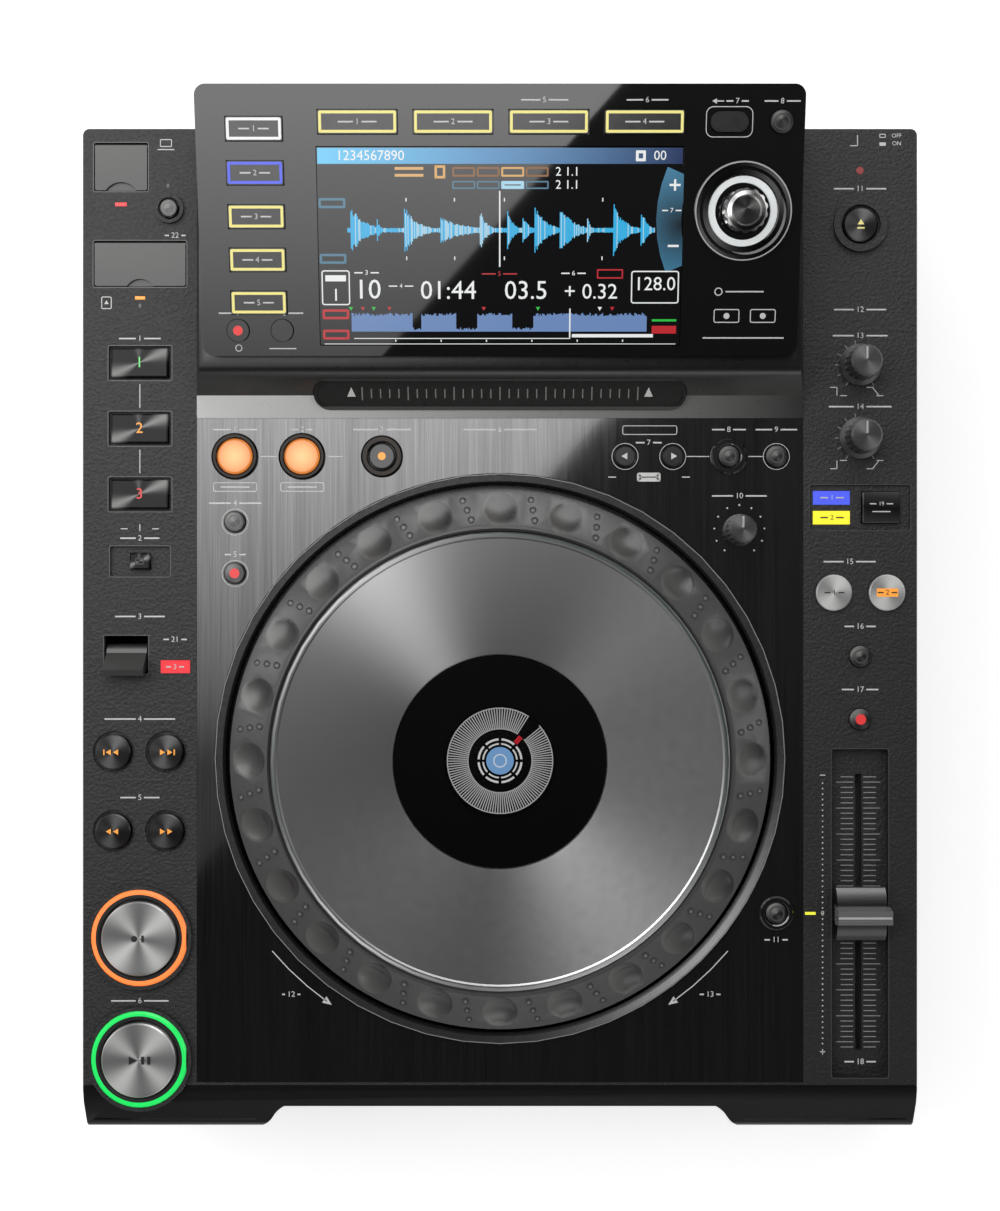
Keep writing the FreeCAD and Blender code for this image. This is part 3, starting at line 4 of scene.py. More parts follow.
import bmesh
import bpy
from mathutils import Matrix, Vector
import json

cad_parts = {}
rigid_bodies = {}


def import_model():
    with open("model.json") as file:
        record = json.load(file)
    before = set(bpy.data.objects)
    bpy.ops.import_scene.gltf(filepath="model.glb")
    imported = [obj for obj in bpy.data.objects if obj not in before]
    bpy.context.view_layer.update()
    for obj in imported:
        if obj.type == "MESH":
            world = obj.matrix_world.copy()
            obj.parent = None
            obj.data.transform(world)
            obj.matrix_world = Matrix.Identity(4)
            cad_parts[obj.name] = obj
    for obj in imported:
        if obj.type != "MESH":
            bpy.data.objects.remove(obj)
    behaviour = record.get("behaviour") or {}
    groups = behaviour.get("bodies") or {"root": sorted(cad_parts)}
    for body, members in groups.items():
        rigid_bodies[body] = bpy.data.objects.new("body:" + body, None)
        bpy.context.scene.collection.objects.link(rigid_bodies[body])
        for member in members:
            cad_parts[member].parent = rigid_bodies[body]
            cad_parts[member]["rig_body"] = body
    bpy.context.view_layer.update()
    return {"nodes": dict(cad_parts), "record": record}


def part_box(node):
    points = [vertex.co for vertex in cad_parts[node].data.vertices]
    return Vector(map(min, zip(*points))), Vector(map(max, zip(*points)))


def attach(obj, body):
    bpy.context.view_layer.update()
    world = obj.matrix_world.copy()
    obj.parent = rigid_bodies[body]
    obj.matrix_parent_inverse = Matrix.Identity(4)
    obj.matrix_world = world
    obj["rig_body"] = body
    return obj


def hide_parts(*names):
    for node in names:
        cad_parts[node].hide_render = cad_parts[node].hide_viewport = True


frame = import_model()

# Camera, floor and studio light
# The photograph looks straight down. The camera hangs 600 mm over the flat deck, and the deck is
# drawn at 2.6095 pixels to the millimetre on a picture 1211 pixels high.
MM = 0.001
DECK_Z = 68 * MM
CAMERA_HEIGHT = 600 * MM
CAMERA_Y = 4.2 * MM
PICTURE_HEIGHT = 1211
PIXELS_PER_MM = 2.6095
SENSOR = 36.0

camera_data = bpy.data.cameras.new("camera")
camera_data.sensor_width = SENSOR
camera_data.lens = SENSOR * CAMERA_HEIGHT / (PICTURE_HEIGHT / PIXELS_PER_MM * MM)
camera_data.clip_start = 0.01
camera = bpy.data.objects.new("camera", camera_data)
camera.location = (0, CAMERA_Y, DECK_Z + CAMERA_HEIGHT)
bpy.context.scene.collection.objects.link(camera)
bpy.context.scene.camera = camera
bpy.context.scene.view_settings.view_transform = "Standard"


class Wire:
    """A shader socket that does arithmetic: each operator adds one Math node."""

    def __init__(self, tree, socket):
        self.tree = tree
        self.socket = socket

    def math(self, operation, *values):
        node = self.tree.nodes.new("ShaderNodeMath")
        node.operation = operation
        for slot, value in zip(node.inputs, values):
            if isinstance(value, Wire):
                self.tree.links.new(value.socket, slot)
            else:
                slot.default_value = value
        return Wire(self.tree, node.outputs[0])

    def __add__(self, other):
        return self.math("ADD", self, other)

    __radd__ = __add__

    def __sub__(self, other):
        return self.math("SUBTRACT", self, other)

    def __rsub__(self, other):
        return self.math("SUBTRACT", other, self)

    def __mul__(self, other):
        return self.math("MULTIPLY", self, other)

    __rmul__ = __mul__

    def __truediv__(self, other):
        return self.math("DIVIDE", self, other)

    def __pow__(self, other):
        return self.math("POWER", self, other)

    def __lt__(self, other):
        return self.math("LESS_THAN", self, other)

    def __gt__(self, other):
        return self.math("GREATER_THAN", self, other)

    def lobe(self, degrees, width):
        """Of an angle: 1 where it points that way, falling off to both sides, sooner with more width."""
        away = self - math.radians(degrees)
        return (away.math("COSINE", away) * 0.5 + 0.5) ** width


def grey(level):
    return (level, level, level)


class Finish:
    """A material: one Principled shader, and the nodes that feed it."""

    def __init__(self, name, color, roughness=0.5, metallic=0.0, **sockets):
        self.material = bpy.data.materials.new(name)
        self.material.use_nodes = True
        self.tree = self.material.node_tree
        self.shader = self.tree.nodes["Principled BSDF"]
        self.put("Base Color", color)
        self.put("Roughness", roughness)
        self.put("Metallic", metallic)
        for socket, value in sockets.items():
            self.put(socket.replace("_", " "), value)

    def put(self, socket, value):
        target = self.shader.inputs[socket]
        if isinstance(value, Wire):
            self.tree.links.new(value.socket, target)
        elif socket in ("Base Color", "Emission Color"):
            target.default_value = (*value, 1.0)
        else:
            target.default_value = value

    def node(self, kind, settings=None, sockets=None, output=0):
        node = self.tree.nodes.new("ShaderNode" + kind)
        for key, value in (settings or {}).items():
            if key == "stops":
                ramp = node.color_ramp
                while len(ramp.elements) < len(value):
                    ramp.elements.new(0.5)
                for element, (place, shade) in zip(ramp.elements, value):
                    element.position = place
                    element.color = (*shade, 1.0)
            else:
                setattr(node, key, value)
        for key, value in (sockets or {}).items():
            if isinstance(value, Wire):
                self.tree.links.new(value.socket, node.inputs[key])
            else:
                node.inputs[key].default_value = value
        return Wire(self.tree, node.outputs[output])

    def place(self, scale=(1, 1, 1), shift=(0, 0, 0)):
        """Object coordinates, moved and scaled."""
        coords = self.node("TexCoord", output=3)
        return self.node("Mapping", {}, {"Vector": coords, "Scale": scale, "Location": shift})

    def axes(self, x=0.0, y=0.0):
        """Across, back and up from an upright axis, whose place is given in millimetres."""
        split = self.node("SeparateXYZ", {}, {"Vector": self.place(shift=(-x * MM, -y * MM, 0))})
        return [Wire(self.tree, output) for output in split.socket.node.outputs]

    def reach(self, x, y):
        """Distance from that axis."""
        across, back, _ = self.axes(x, y)
        return (across * across + back * back) ** 0.5

    def turn(self, x, y):
        """Angle round that axis, from the right."""
        across, back, _ = self.axes(x, y)
        return self.node("Math", {"operation": "ARCTAN2"}, {0: back, 1: across})

    def noise(self, scale=(1, 1, 1), size=1000.0, detail=2.0):
        return self.node("TexNoise", {}, {"Vector": self.place(scale), "Scale": size, "Detail": detail})

    def mix(self, factor, low, high):
        """A colour between two; each end is a colour or a wire."""
        node = self.tree.nodes.new("ShaderNodeMix")
        node.data_type = "RGBA"
        for slot, value in ((0, factor), (6, low), (7, high)):
            if isinstance(value, Wire):
                self.tree.links.new(value.socket, node.inputs[slot])
            elif slot:
                node.inputs[slot].default_value = (*value, 1.0)
            else:
                node.inputs[slot].default_value = value
        return Wire(self.tree, node.outputs[2])

    def tone(self, factor, low, high):
        self.put("Base Color", self.mix(factor, low, high))

    def bump(self, height, strength=0.2, distance=0.0001):
        relief = {"Height": height, "Strength": strength, "Distance": distance}
        self.put("Normal", self.node("Bump", {}, relief))

    def gloss(self, low, high, size=60.0, detail=2.0):
        """Roughness that changes slowly and unevenly, as on a used surface."""
        self.put("Roughness", self.noise(size=size, detail=detail) * (high - low) + low)


def sheet(bm, matrix=Matrix()):
    """A flat square, one unit wide before it is placed."""
    return bmesh.ops.create_grid(bm, x_segments=1, y_segments=1, size=0.5, matrix=matrix)["verts"]


def staged(name, bm, finish, only_in_gloss=True):
    """A thing of the studio: the floor, or a card that only polished faces see."""
    mesh = bpy.data.meshes.new(name)
    bm.to_mesh(mesh)
    bm.free()
    mesh.materials.append(finish.material)
    thing = bpy.data.objects.new(name, mesh)
    bpy.context.scene.collection.objects.link(thing)
    if only_in_gloss:
        for ray in ("visible_camera", "visible_diffuse", "visible_shadow", "visible_transmission"):
            setattr(thing, ray, False)


def background_rays(tree, kinds=("Is Camera Ray", "Is Glossy Ray", "Is Transmission Ray")):
    """1 for the rays by which the background is seen."""
    paths = tree.nodes.new("ShaderNodeLightPath")
    first, *others = [Wire(tree, paths.outputs[kind]) for kind in kinds]
    for other in others:
        first = first.math("MAXIMUM", first, other)
    return first


FLOOR_WIDTH, FLOOR_GLOW = 8.0, 0.55
paper = Finish("floor_paper", grey(0.9), 0.9)
glow = paper.node("Emission", {}, {"Color": (1, 1, 1, 1), "Strength": FLOOR_GLOW})
both = paper.tree.nodes.new("ShaderNodeAddShader")
choose = paper.node("MixShader", {}, {0: background_rays(paper.tree)})
for source, target in ((paper.shader.outputs[0], both.inputs[0]), (glow.socket, both.inputs[1]),
                       (paper.shader.outputs[0], choose.socket.node.inputs[1]),
                       (both.outputs[0], choose.socket.node.inputs[2]),
                       (choose.socket, paper.tree.nodes["Material Output"].inputs[0])):
    paper.tree.links.new(source, target)
floor = bmesh.new()
sheet(floor, Matrix.Scale(FLOOR_WIDTH, 4))
staged("floor", floor, paper, only_in_gloss=False)

WORLD_LIGHT, WORLD_IN_GLOSS = 0.30, 0.45
world = bpy.data.worlds.new("studio")
world.use_nodes = True
sky = world.node_tree.nodes["Background"]
sky.inputs["Color"].default_value = (1, 1, 1, 1)
seen = background_rays(world.node_tree, ("Is Camera Ray", "Is Transmission Ray"))
in_gloss = background_rays(world.node_tree, ("Is Glossy Ray",))
strength = seen * (1 - WORLD_LIGHT) + in_gloss * (WORLD_IN_GLOSS - WORLD_LIGHT) + WORLD_LIGHT
world.node_tree.links.new(strength.socket, sky.inputs["Strength"])
bpy.context.scene.world = world


def softbox(name, place, aim, size, power):
    light = bpy.data.lights.new(name, "AREA")
    light.shape = "RECTANGLE"
    light.size, light.size_y = size
    light.energy = power
    lamp = bpy.data.objects.new(name, light)
    lamp.location = place
    lamp.rotation_euler = (Vector(aim) - Vector(place)).to_track_quat("-Z", "Y").to_euler()
    lamp.visible_camera = False
    bpy.context.scene.collection.objects.link(lamp)


softbox("softbox_left", (-1.6, 0.5, 1.3), (0, 0, 0.05), (1.0, 1.6), 13)
softbox("softbox_right", (1.7, 0.1, 1.1), (0, 0, 0.05), (0.7, 1.4), 5.5)
softbox("softbox_rear", (-0.2, 1.7, 1.2), (0, 0, 0.05), (1.6, 0.7), 9)
softbox("softbox_front", (0.3, -1.7, 1.0), (0, 0, 0.05), (1.4, 0.5), 4.5)

# The bright card whose straight edge shows as a slanting reflection across the deck and the screen.
# Its edge is worked out from where that slant crosses the deck, seen from the camera.
CARD_RISE = 547 * MM
CARD_DEPTH, CARD_LENGTH = 1.1, 3.0
CARD_GLOW, CLOTH_GLOW = 4.2, 0.14
SLANT_START = Vector((38.3, 71.1)) * MM
SLANT_END = Vector((-115.0, -100.6)) * MM
card_middle = (SLANT_START + SLANT_END) / 2 * (1 + CARD_RISE / CAMERA_HEIGHT)
along = (SLANT_END - SLANT_START).normalized()
away = Vector((along.y, -along.x))
card = bmesh.new()
sheet(card)
for vert in card.verts:
    spot = card_middle + along * vert.co.y * CARD_LENGTH + away * (CARD_DEPTH if vert.co.x > 0 else 0.0)
    vert.co = (spot.x, spot.y + CAMERA_Y, DECK_Z + CARD_RISE)
card_finish = Finish("card_glow", (0, 0, 0), 1.0, Emission_Strength=CARD_GLOW)
card_sweep = card_finish.axes()[1] * 4.0 + 0.45
card_finish.put("Emission Color", card_finish.mix(card_sweep, grey(0.08), (1, 1, 1)))
staged("reflector_card", card, card_finish)

# The dark cloth round the camera, which turns the right and the front of polished faces near black
cloth = bmesh.new()
sheet(cloth, Matrix.Translation((0, 0, DECK_Z + CARD_RISE + 20 * MM)) @ Matrix.Diagonal((1.0, 1.2, 1, 1)))
cloth_finish = Finish("cloth_grey", (0, 0, 0), 1.0, Emission_Strength=CLOTH_GLOW)
cloth_sweep = cloth_finish.axes()[1] * 1.6 + 0.35
cloth_finish.put("Emission Color", cloth_finish.mix(cloth_sweep, grey(0.08), (1, 1, 1)))
staged("dark_cloth", cloth, cloth_finish)

# Top cover
# The moulded black shell of both flanks and sides, with a fine sand texture from the mould.
# It carries every flank key, and the deck plate and the display housing sit in its rim.


def new_piece(name, bm, finish, body, smooth):
    """Makes the finished object of a bmesh, at the origin, and lets it ride on its body."""
    mesh = bpy.data.meshes.new(name)
    for face in bm.faces:
        face.smooth = smooth > 0
    for edge in bm.edges:
        edge.smooth = len(edge.link_faces) == 2 and edge.calc_face_angle(0) < math.radians(smooth)
    bm.to_mesh(mesh)
    bm.free()
    piece = bpy.data.objects.new(name, mesh)
    bpy.context.scene.collection.objects.link(piece)
    mesh.materials.append(finish.material)
    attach(piece, body)
    return piece


def dressed(node, finish, smooth=32.0):
    """A merged, smoothly shaded copy of a CAD node that stands for it."""
    source = frame["nodes"][node]
    bm = bmesh.new()
    bm.from_mesh(source.data)
    bmesh.ops.remove_doubles(bm, verts=bm.verts, dist=2e-6)
    bmesh.ops.dissolve_limit(bm, angle_limit=math.radians(0.6), verts=bm.verts, edges=bm.edges,
                             use_dissolve_boundaries=False)
    slot_name = next(s["material_slot"] for s in frame["record"]["subparts"] if s["node"] == node)
    piece = new_piece(node + "_finished", bm, finish, source["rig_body"], smooth)
    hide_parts(node)
    return piece


def paint(node, finish):
    """Gives a CAD node its material."""
    slots = frame["nodes"][node].data.materials
    if len(slots):
        slots[0] = finish.material
    else:
        slots.append(finish.material)


class Print:
    """Flat marks in one ink, drawn in millimetres one after another and then laid on a surface."""

    def __init__(self, name, ink, body="root", slot="key"):
        self.name, self.ink, self.body, self.slot = name, ink, body, slot
        self.bm = bmesh.new()

    def at(self, x, y, turn=0.0, w=1.0, h=1.0):
        return (Matrix.Translation((x, y, 0)) @ Matrix.Rotation(math.radians(turn), 4, "Z")
                @ Matrix.Diagonal((w, h, 1, 1)))

    def bar(self, x, y, w, h, turn=0.0):
        sheet(self.bm, self.at(x, y, turn, w, h))
        return self

    def disc(self, x, y, r, segments=24):
        bmesh.ops.create_circle(self.bm, cap_ends=True, radius=r, segments=segments, matrix=self.at(x, y))
        return self

    def triangle(self, x, y, size, turn=0.0, long=1.0):
        """A triangle that points towards turn, measured from the right."""
        bmesh.ops.create_circle(self.bm, cap_ends=True, radius=size, segments=3, matrix=self.at(
            x, y, turn, long, 1.0) @ Matrix.Rotation(math.radians(-90), 4, "Z"))
        return self

    def ring(self, x, y, r_out, r_in, start=0.0, sweep=360.0):
        toward = Vector((math.cos(math.radians(start)), math.sin(math.radians(start)), 0))
        ends = [self.bm.verts.new(Vector((x, y, 0)) + toward * r) for r in (r_in, r_out)]
        bmesh.ops.spin(self.bm, geom=[*ends, self.bm.edges.new(ends)], cent=(x, y, 0), axis=(0, 0, 1),
                       angle=math.radians(sweep), steps=max(3, int(abs(sweep) / 7.5)),
                       use_merge=abs(sweep) >= 360, use_duplicate=False)
        return self

    def frame(self, x, y, w, h, line, corner=0.6):
        rounded = bmesh.ops.bevel(self.bm, geom=sheet(self.bm, self.at(x, y, 0, w, h)), offset=corner,
                                  offset_type="OFFSET", affect="VERTICES", segments=4, profile=0.5,
                                  material=-1)
        faces = rounded["faces"] + [face for vert in rounded["verts"] for face in vert.link_faces]
        face = max(faces, key=lambda face: face.calc_area())
        bmesh.ops.inset_individual(self.bm, faces=[face], thickness=line, depth=0)
        bmesh.ops.delete(self.bm, geom=[face], context="FACES_ONLY")
        return self

    def text(self, words, x, y, height):
        curve = bpy.data.curves.new("letters", "FONT")
        curve.body = words
        curve.size = height * 1.38
        curve.align_x, curve.align_y = "CENTER", "CENTER"
        curve.resolution_u = 3
        holder = bpy.data.objects.new("letters", curve)
        mesh = bpy.data.meshes.new_from_object(holder)
        mesh.transform(self.at(x, y))
        self.bm.from_mesh(mesh)
        bpy.data.objects.remove(holder)
        bpy.data.curves.remove(curve)
        bpy.data.meshes.remove(mesh)
        return self

    def label(self, words, x, y, width, height=2.2):
        """A plain number with a bar on each side, as wide as the words that name such a control."""
        self.text(words, x, y, height)
        room = len(words) * height * 0.36 + 0.8
        side = width / 2 - room
        if side > 0.6:
            for s in (-1, 1):
                self.bar(x + s * (room + side / 2), y, side, height * 0.26)
        return self

    def lay(self, place):
        self.bm.normal_update()
        for face in self.bm.faces:
            if face.normal.z < 0:
                face.normal_flip()
        self.bm.transform(place @ Matrix.Scale(MM, 4))
        return new_piece(self.name, self.bm, self.ink, self.body, 0.0)


def flat(height):
    """The level at which a print lies, in millimetres above the table."""
    return Matrix.Translation((0, 0, height * MM))


def ink(name, color, glow=0.0, roughness=0.45):
    """Printed paint or a lit mark, with the slight unevenness of a screen print."""
    one = Finish(name, color, roughness)
    uneven = one.mix(one.noise(size=2500.0, detail=3.0), tuple(c * 0.78 for c in color), color)
    one.put("Base Color", uneven)
    if glow:
        one.put("Emission Color", uneven)
        one.put("Emission Strength", glow)
    return one


INK_LIFT = 0.05
DECK_TOP = 68.0
ON_DECK = flat(DECK_TOP + INK_LIFT)
sand = Finish("sand_black_plastic", grey(0.02), 0.5, Specular_IOR_Level=0.3)
grain = sand.noise(size=850.0, detail=4.0)
blotch = sand.noise(size=18.0, detail=3.0)
# Painted side light: the plastic is painted lighter towards the left and darker towards the right, as the
# light falls on it; the grain and the blotches are the mould's own texture.
shade = (grain * 1.5 + blotch * 0.2 - 0.12) * (0.44 - sand.axes()[0] * 1.1)
sand.tone(shade, grey(0.003), (0.034, 0.034, 0.035))
sand.put("Roughness", 0.68 - grain * 0.20)
sand.bump(grain, 1.0, 0.0005)
dressed("top_cover", sand)
fascia = Finish("fascia_plastic", grey(0.012), 0.38, Specular_IOR_Level=0.12)
fascia_grain = fascia.noise(size=1600.0, detail=3.0)
fascia.tone(fascia_grain, grey(0.003), grey(0.009))
fascia.put("Roughness", fascia_grain * 0.15 + 0.30)
fascia.bump(fascia_grain, 0.3, 0.0002)
dressed("front_fascia", fascia)

FLANK = 137.95
white_ink = ink("white_print", (0.80, 0.80, 0.78))
grey_ink = ink("grey_print", grey(0.30))
flank_print = Print("flank_print", white_ink)
flank_grey = Print("flank_grey_print", grey_ink)
for number, (x, y, width) in {
        "1": (-138, 106.5, 16), "2": (-138, 30.0, 15), "3": (-138, 0.0, 19), "4": (-138, -39.3, 27),
        "5": (-138, -69.4, 15), "6": (-138, -147.3, 22), "11": (138, 163.9, 20), "12": (138, 117.6, 20),
        "13": (138, 107.6, 21), "14": (138, 80.4, 24), "15": (134, 21.0, 20), "16": (138, -3.8, 12),
        "17": (138, -28.0, 14), "18": (138, -170.6, 12), "21": (-124.5, -8.8, 9),
        "22": (-124.5, 146.0, 8)}.items():
    flank_print.label(number, x, y, width)
for number, (x, y) in {"0": (-127.2, 165.0), "8": (-138, 119.0)}.items():
    flank_grey.text(number, x, y, 1.5)
# Lines that join the three hot cue keys to their call key
for y, length in ((84.5, 9.0), (59.4, 9.0), (34.0, 2.6)):
    flank_print.bar(-138, y, 0.35, length)
for side in (-1, 1):
    flank_print.bar(-138 + side * 6.0, 33.6, 2.6, 0.35)
# Power mark: a stepped line beside ON and OFF
flank_print.text("OFF", 152.0, 184.2, 1.6).text("ON", 152.0, 181.2, 1.6)
flank_print.frame(146.6, 184.2, 2.4, 1.5, 0.3, 0.2).bar(146.6, 181.0, 2.4, 1.3)
flank_print.bar(137.0, 182.4, 0.35, 4.0).bar(135.6, 180.4, 3.0, 0.35)
# Stick and card marks
flank_print.frame(-128.0, 181.4, 4.6, 3.0, 0.35, 0.5).bar(-128.0, 178.9, 6.4, 0.4)
flank_print.frame(-150.8, 120.2, 4.0, 4.8, 0.35, 0.6).triangle(-150.8, 120.2, 1.0, 90)
# Curves that show how quickly the platter stops and starts
for y, turn in ((86.2, 1), (58.2, -1)):
    for x in (-8.6, 5.4):
        flank_print.bar(138 + x - 1.6, y + turn * 1.6, 2.6, 0.3)
        flank_print.bar(138 + x + 2.2, y - turn * 1.6, 2.6, 0.3)
    flank_print.bar(138 - 8.6 - 0.3, y, 0.3, 3.2).bar(138 + 6.0, y, 4.0, 0.3, -turn * 52)
flank_print.lay(ON_DECK)
flank_grey.lay(ON_DECK)
# Thin pale outlines of the recesses in the flanks
outline = Print("flank_outlines", ink("edge_grey", grey(0.075), roughness=0.3))
for x, y, w, h, line, corner in (
        (-145.25, 172.2, 21.4, 19.3, 0.3, 1.0), (-137.95, 135.1, 36.3, 18.4, 0.3, 1.0),
        (-137.95, 97.1, 24.8, 13.8, 0.3, 0.8), (-137.95, 71.95, 24.8, 13.8, 0.3, 0.8),
        (-137.95, 46.8, 24.8, 13.8, 0.3, 0.8), (-137.95, 21.1, 23.7, 12.3, 0.3, 0.8),
        (137.95, 41.7, 39.2, 18.0, 0.3, 1.0), (-143.25, -14.7, 17.6, 15.3, 0.3, 0.6),
        (137.95, -113.8, 22.4, 126.8, 0.35, 1.0)):
    outline.frame(x, y, w, h, line, corner)
outline.lay(ON_DECK)

# Tray and feet
# Folded steel tray painted black, with the screws that hold it and four moulded rubber feet. The drive,
# the slide control and the circuit boards lie inside it and are seen only through openings.
steel = Finish("painted_steel", (0.025, 0.025, 0.026), 0.42, 0.0)
steel.bump(steel.noise(size=900.0, detail=2.0), 0.15, 0.0001)
steel.gloss(0.34, 0.52, 60.0, 4.0)
paint("chassis", steel)
rubber = Finish("foot_rubber", grey(0.012), 0.85)
rubber.bump(rubber.noise(size=600.0, detail=4.0), 0.3, 0.0001)
dressed("rubber_feet", rubber)
screw_metal = Finish("black_zinc", grey(0.09), 0.3, 1.0)
screw_metal.gloss(0.22, 0.4, 400.0, 4.0)
dressed("case_screws", screw_metal)
zinc = Finish("zinc_plate", (0.45, 0.45, 0.44), 0.32, 1.0)
zinc.gloss(0.25, 0.5, 90.0, 4.0)
paint("disc_drive", zinc)
paint("tempo_fader", zinc)
board = Finish("solder_mask", (0.012, 0.07, 0.03), 0.4)
traces = board.noise(size=700.0) > 0.56
board.tone(traces, (0.012, 0.07, 0.03), (0.03, 0.13, 0.06))
paint("circuit_boards", board)

# Rear connectors
# Phono jacks with gilt sleeves, a small control jack, and moulded network, data and mains sockets,
# screwed to the rear panel from inside.
socket_plastic = Finish("socket_plastic", grey(0.02), 0.4)
across, back, _ = socket_plastic.axes()
plated = (across > 30 * MM) * (back > 187.9 * MM)
socket_plastic.tone(plated, grey(0.02), (0.62, 0.60, 0.54))
socket_plastic.put("Metallic", plated * 1.0)
socket_plastic.gloss(0.22, 0.42, 200.0)
dressed("rear_connectors", socket_plastic)

# Deck plate
# Aluminium sheet brushed from front to back, dyed near black and lacquered, with satin guard rings
# pressed in round the loop, delete and reset keys.
LOOP_ROW = 61.3
JOG_Y = -54.4
deck = Finish("brushed_deck", grey(0.10), 0.2, 0.9)
strokes = deck.noise(scale=(1.0, 0.010, 0.010), size=2400.0, detail=3.0)
wide = deck.noise(scale=(1.0, 0.02, 0.02), size=220.0, detail=2.0)
deck_color = deck.mix(strokes * 0.65 + wide * 0.35, (0.02, 0.02, 0.021), (0.15, 0.15, 0.152))
for ring_x, ring_r in ((-101.5, 8.9), (-75.8, 8.9), (-45.2, 8.0)):
    deck_color = deck.mix(deck.reach(ring_x, LOOP_ROW) < ring_r * MM, deck_color, (0.008, 0.006, 0.005))
deck.put("Base Color", deck_color)
deck.put("Roughness", strokes * 0.07 + 0.05)
deck.bump(strokes, 0.03, 0.00003)
deck.put("Coat Weight", 0.15)
deck.put("Coat Roughness", 0.02)
dressed("deck_plate", deck)
deck_print = Print("deck_print", white_ink)
for number, (x, y, width) in {
        "1": (-101.5, 71.6, 17), "2": (-75.8, 71.6, 8), "3": (-45.2, 71.6, 22), "4": (-101.5, 43.4, 20),
        "5": (-101.5, 23.7, 8), "6": (0.0, 71.6, 28), "7": (57.0, 66.6, 10), "8": (87.7, 71.6, 13),
        "9": (105.9, 71.6, 16), "10": (91.7, 46.2, 21), "11": (105.8, -123.9, 9), "12": (-80.0, -144.8, 7),
        "13": (80.5, -144.8, 8)}.items():
    deck_print.label(number, x, y, width)
# Lines that join the loop keys, the call keys, delete and memory
for x0, x1 in ((-92.2, -85.2), (-66.6, -60.4), (71.2, 80.2), (95.2, 101.2)):
    deck_print.bar((x0 + x1) / 2, LOOP_ROW, x1 - x0, 0.35)
deck_print.frame(57.4, 71.4, 21.0, 3.6, 0.3, 0.8)
for x in (43.0, 71.2):
    deck_print.bar(x, 53.4, 3.0, 0.4)
# Short tags under the two loop keys
for x in (-101.5, -75.8):
    deck_print.frame(x, 49.6, 16.8, 3.6, 0.3, 0.8).bar(x, 49.6, 11.0, 0.5)
deck_print.frame(57.0, 53.4, 9.0, 3.4, 1.5, 0.7)
# Thin rings round the small keys
for x, y, r in ((-101.5, 36.2, 5.0), (-101.5, 16.5, 5.0), (47.9, LOOP_ROW, 5.0), (66.2, LOOP_ROW, 5.0),
                (105.9, LOOP_ROW, 5.0)):
    deck_print.ring(x, y, r + 0.12, r - 0.12)


def polar(x, y, reach, degrees):
    """A place at some distance and angle from another."""
    turn = math.radians(degrees)
    return x + reach * math.cos(turn), y + reach * math.sin(turn)


# Arcs with arrow heads for the two ways of turning the wheel
ARC_R, ARC_START, ARC_SWEEP = 114.3, 40.2, 14.3
for side in (-1, 1):
    start = 180 + ARC_START if side < 0 else -ARC_START
    deck_print.ring(0, JOG_Y, ARC_R + 0.2, ARC_R - 0.2, start, -side * ARC_SWEEP)
    tip = start - side * ARC_SWEEP
    deck_print.triangle(*polar(0, JOG_Y, ARC_R, tip), 1.7, tip - side * 90, 1.4)
# Dots round the jog adjust knob
for i in range(11):
    deck_print.disc(*polar(91.7, 33.1, 9.6, -54 + i * 28.8), 0.36, 10)
deck_print.lay(ON_DECK)

# Display housing
# Moulded satin wedge: the bevelled strip over the deck, with a painted highlight bright at its left end,
# the riser behind it, painted darker towards the back as shade, and the platform that carries the tilted
# panel.
housing = Finish("satin_housing", grey(0.02), 0.28)
across, back, up = housing.axes()
strip_zone = (back < 84.4 * MM) * (up > 60 * MM)
# Painted highlight on the strip, fading from bright at the left to dark at the right; painted shade on the
# riser, darker towards the back.
strip_painted_highlight = housing.node("ValToRGB", {"stops": [(0.0, (0.85, 0.85, 0.83)), (0.5, (0.40, 0.40, 0.39)),
                                                  (1.0, grey(0.008))]}, {"Fac": across * 4.0 + 0.5})
riser_painted_shade = housing.node("ValToRGB", {"stops": [(0.0, (0.055, 0.055, 0.052)), (1.0, grey(0.008))]},
                     {"Fac": (back - 84.4 * MM) * 130.0})
housing.tone(strip_zone, riser_painted_shade, strip_painted_highlight)
housing.gloss(0.24, 0.34, 300.0)
dressed("display_housing", housing)

# Display panel
# One tilted slab of polished black acrylic over the screen, with the turned selector dish. Its print
# stands beside the round keys, and the search strip lies on the slope in front of it.
PANEL_TILT = 11.6
PANEL_FRONT = Vector((0, 96.8, 87.0)) * MM


def panel(height):
    """The plane of the tilted panel: across, up from its front edge, and above its top face."""
    return (Matrix.Translation(PANEL_FRONT) @ Matrix.Rotation(math.radians(PANEL_TILT), 4, "X")
            @ Matrix.Translation((0, 0, height * MM)))


acrylic = Finish("piano_black", (0.0045, 0.0045, 0.0047), 0.035)
acrylic.gloss(0.02, 0.04, 40.0, 5.0)
acrylic.tone(acrylic.noise(size=3.0), (0.0035, 0.0035, 0.0037), (0.0065, 0.0065, 0.0068))
acrylic.put("Coat Weight", 0.1)
acrylic.put("Coat Roughness", 0.02)
dressed("display_panel", acrylic, smooth=20.0)
screen_glass = Finish("screen_glass", (0.006, 0.006, 0.007), 0.04)
screen_glass.gloss(0.03, 0.05, 30.0)
paint("lcd_module", screen_glass)
panel_print = Print("panel_print", white_ink, slot="panel_key")
for number, (x, v, width) in {
        "1": (-96.8, 15.6, 14), "2": (-79.6, 15.6, 14), "5": (16.0, 91.0, 17), "6": (53.0, 91.0, 15),
        "7": (85.4, 90.6, 8), "8": (101.6, 90.6, 13)}.items():
    panel_print.label(number, x, v, width, 2.0)
panel_print.bar(-80.5, 2.7, 10.0, 0.4).ring(-96.8, 2.9, 1.3, 1.0)
# Bent arrow of the back key
panel_print.bar(79.2, 90.6, 2.8, 0.4).triangle(77.4, 90.6, 1.1, 180)
panel_print.frame(82.7, 83.4, 17.0, 10.8, 0.3, 2.6)
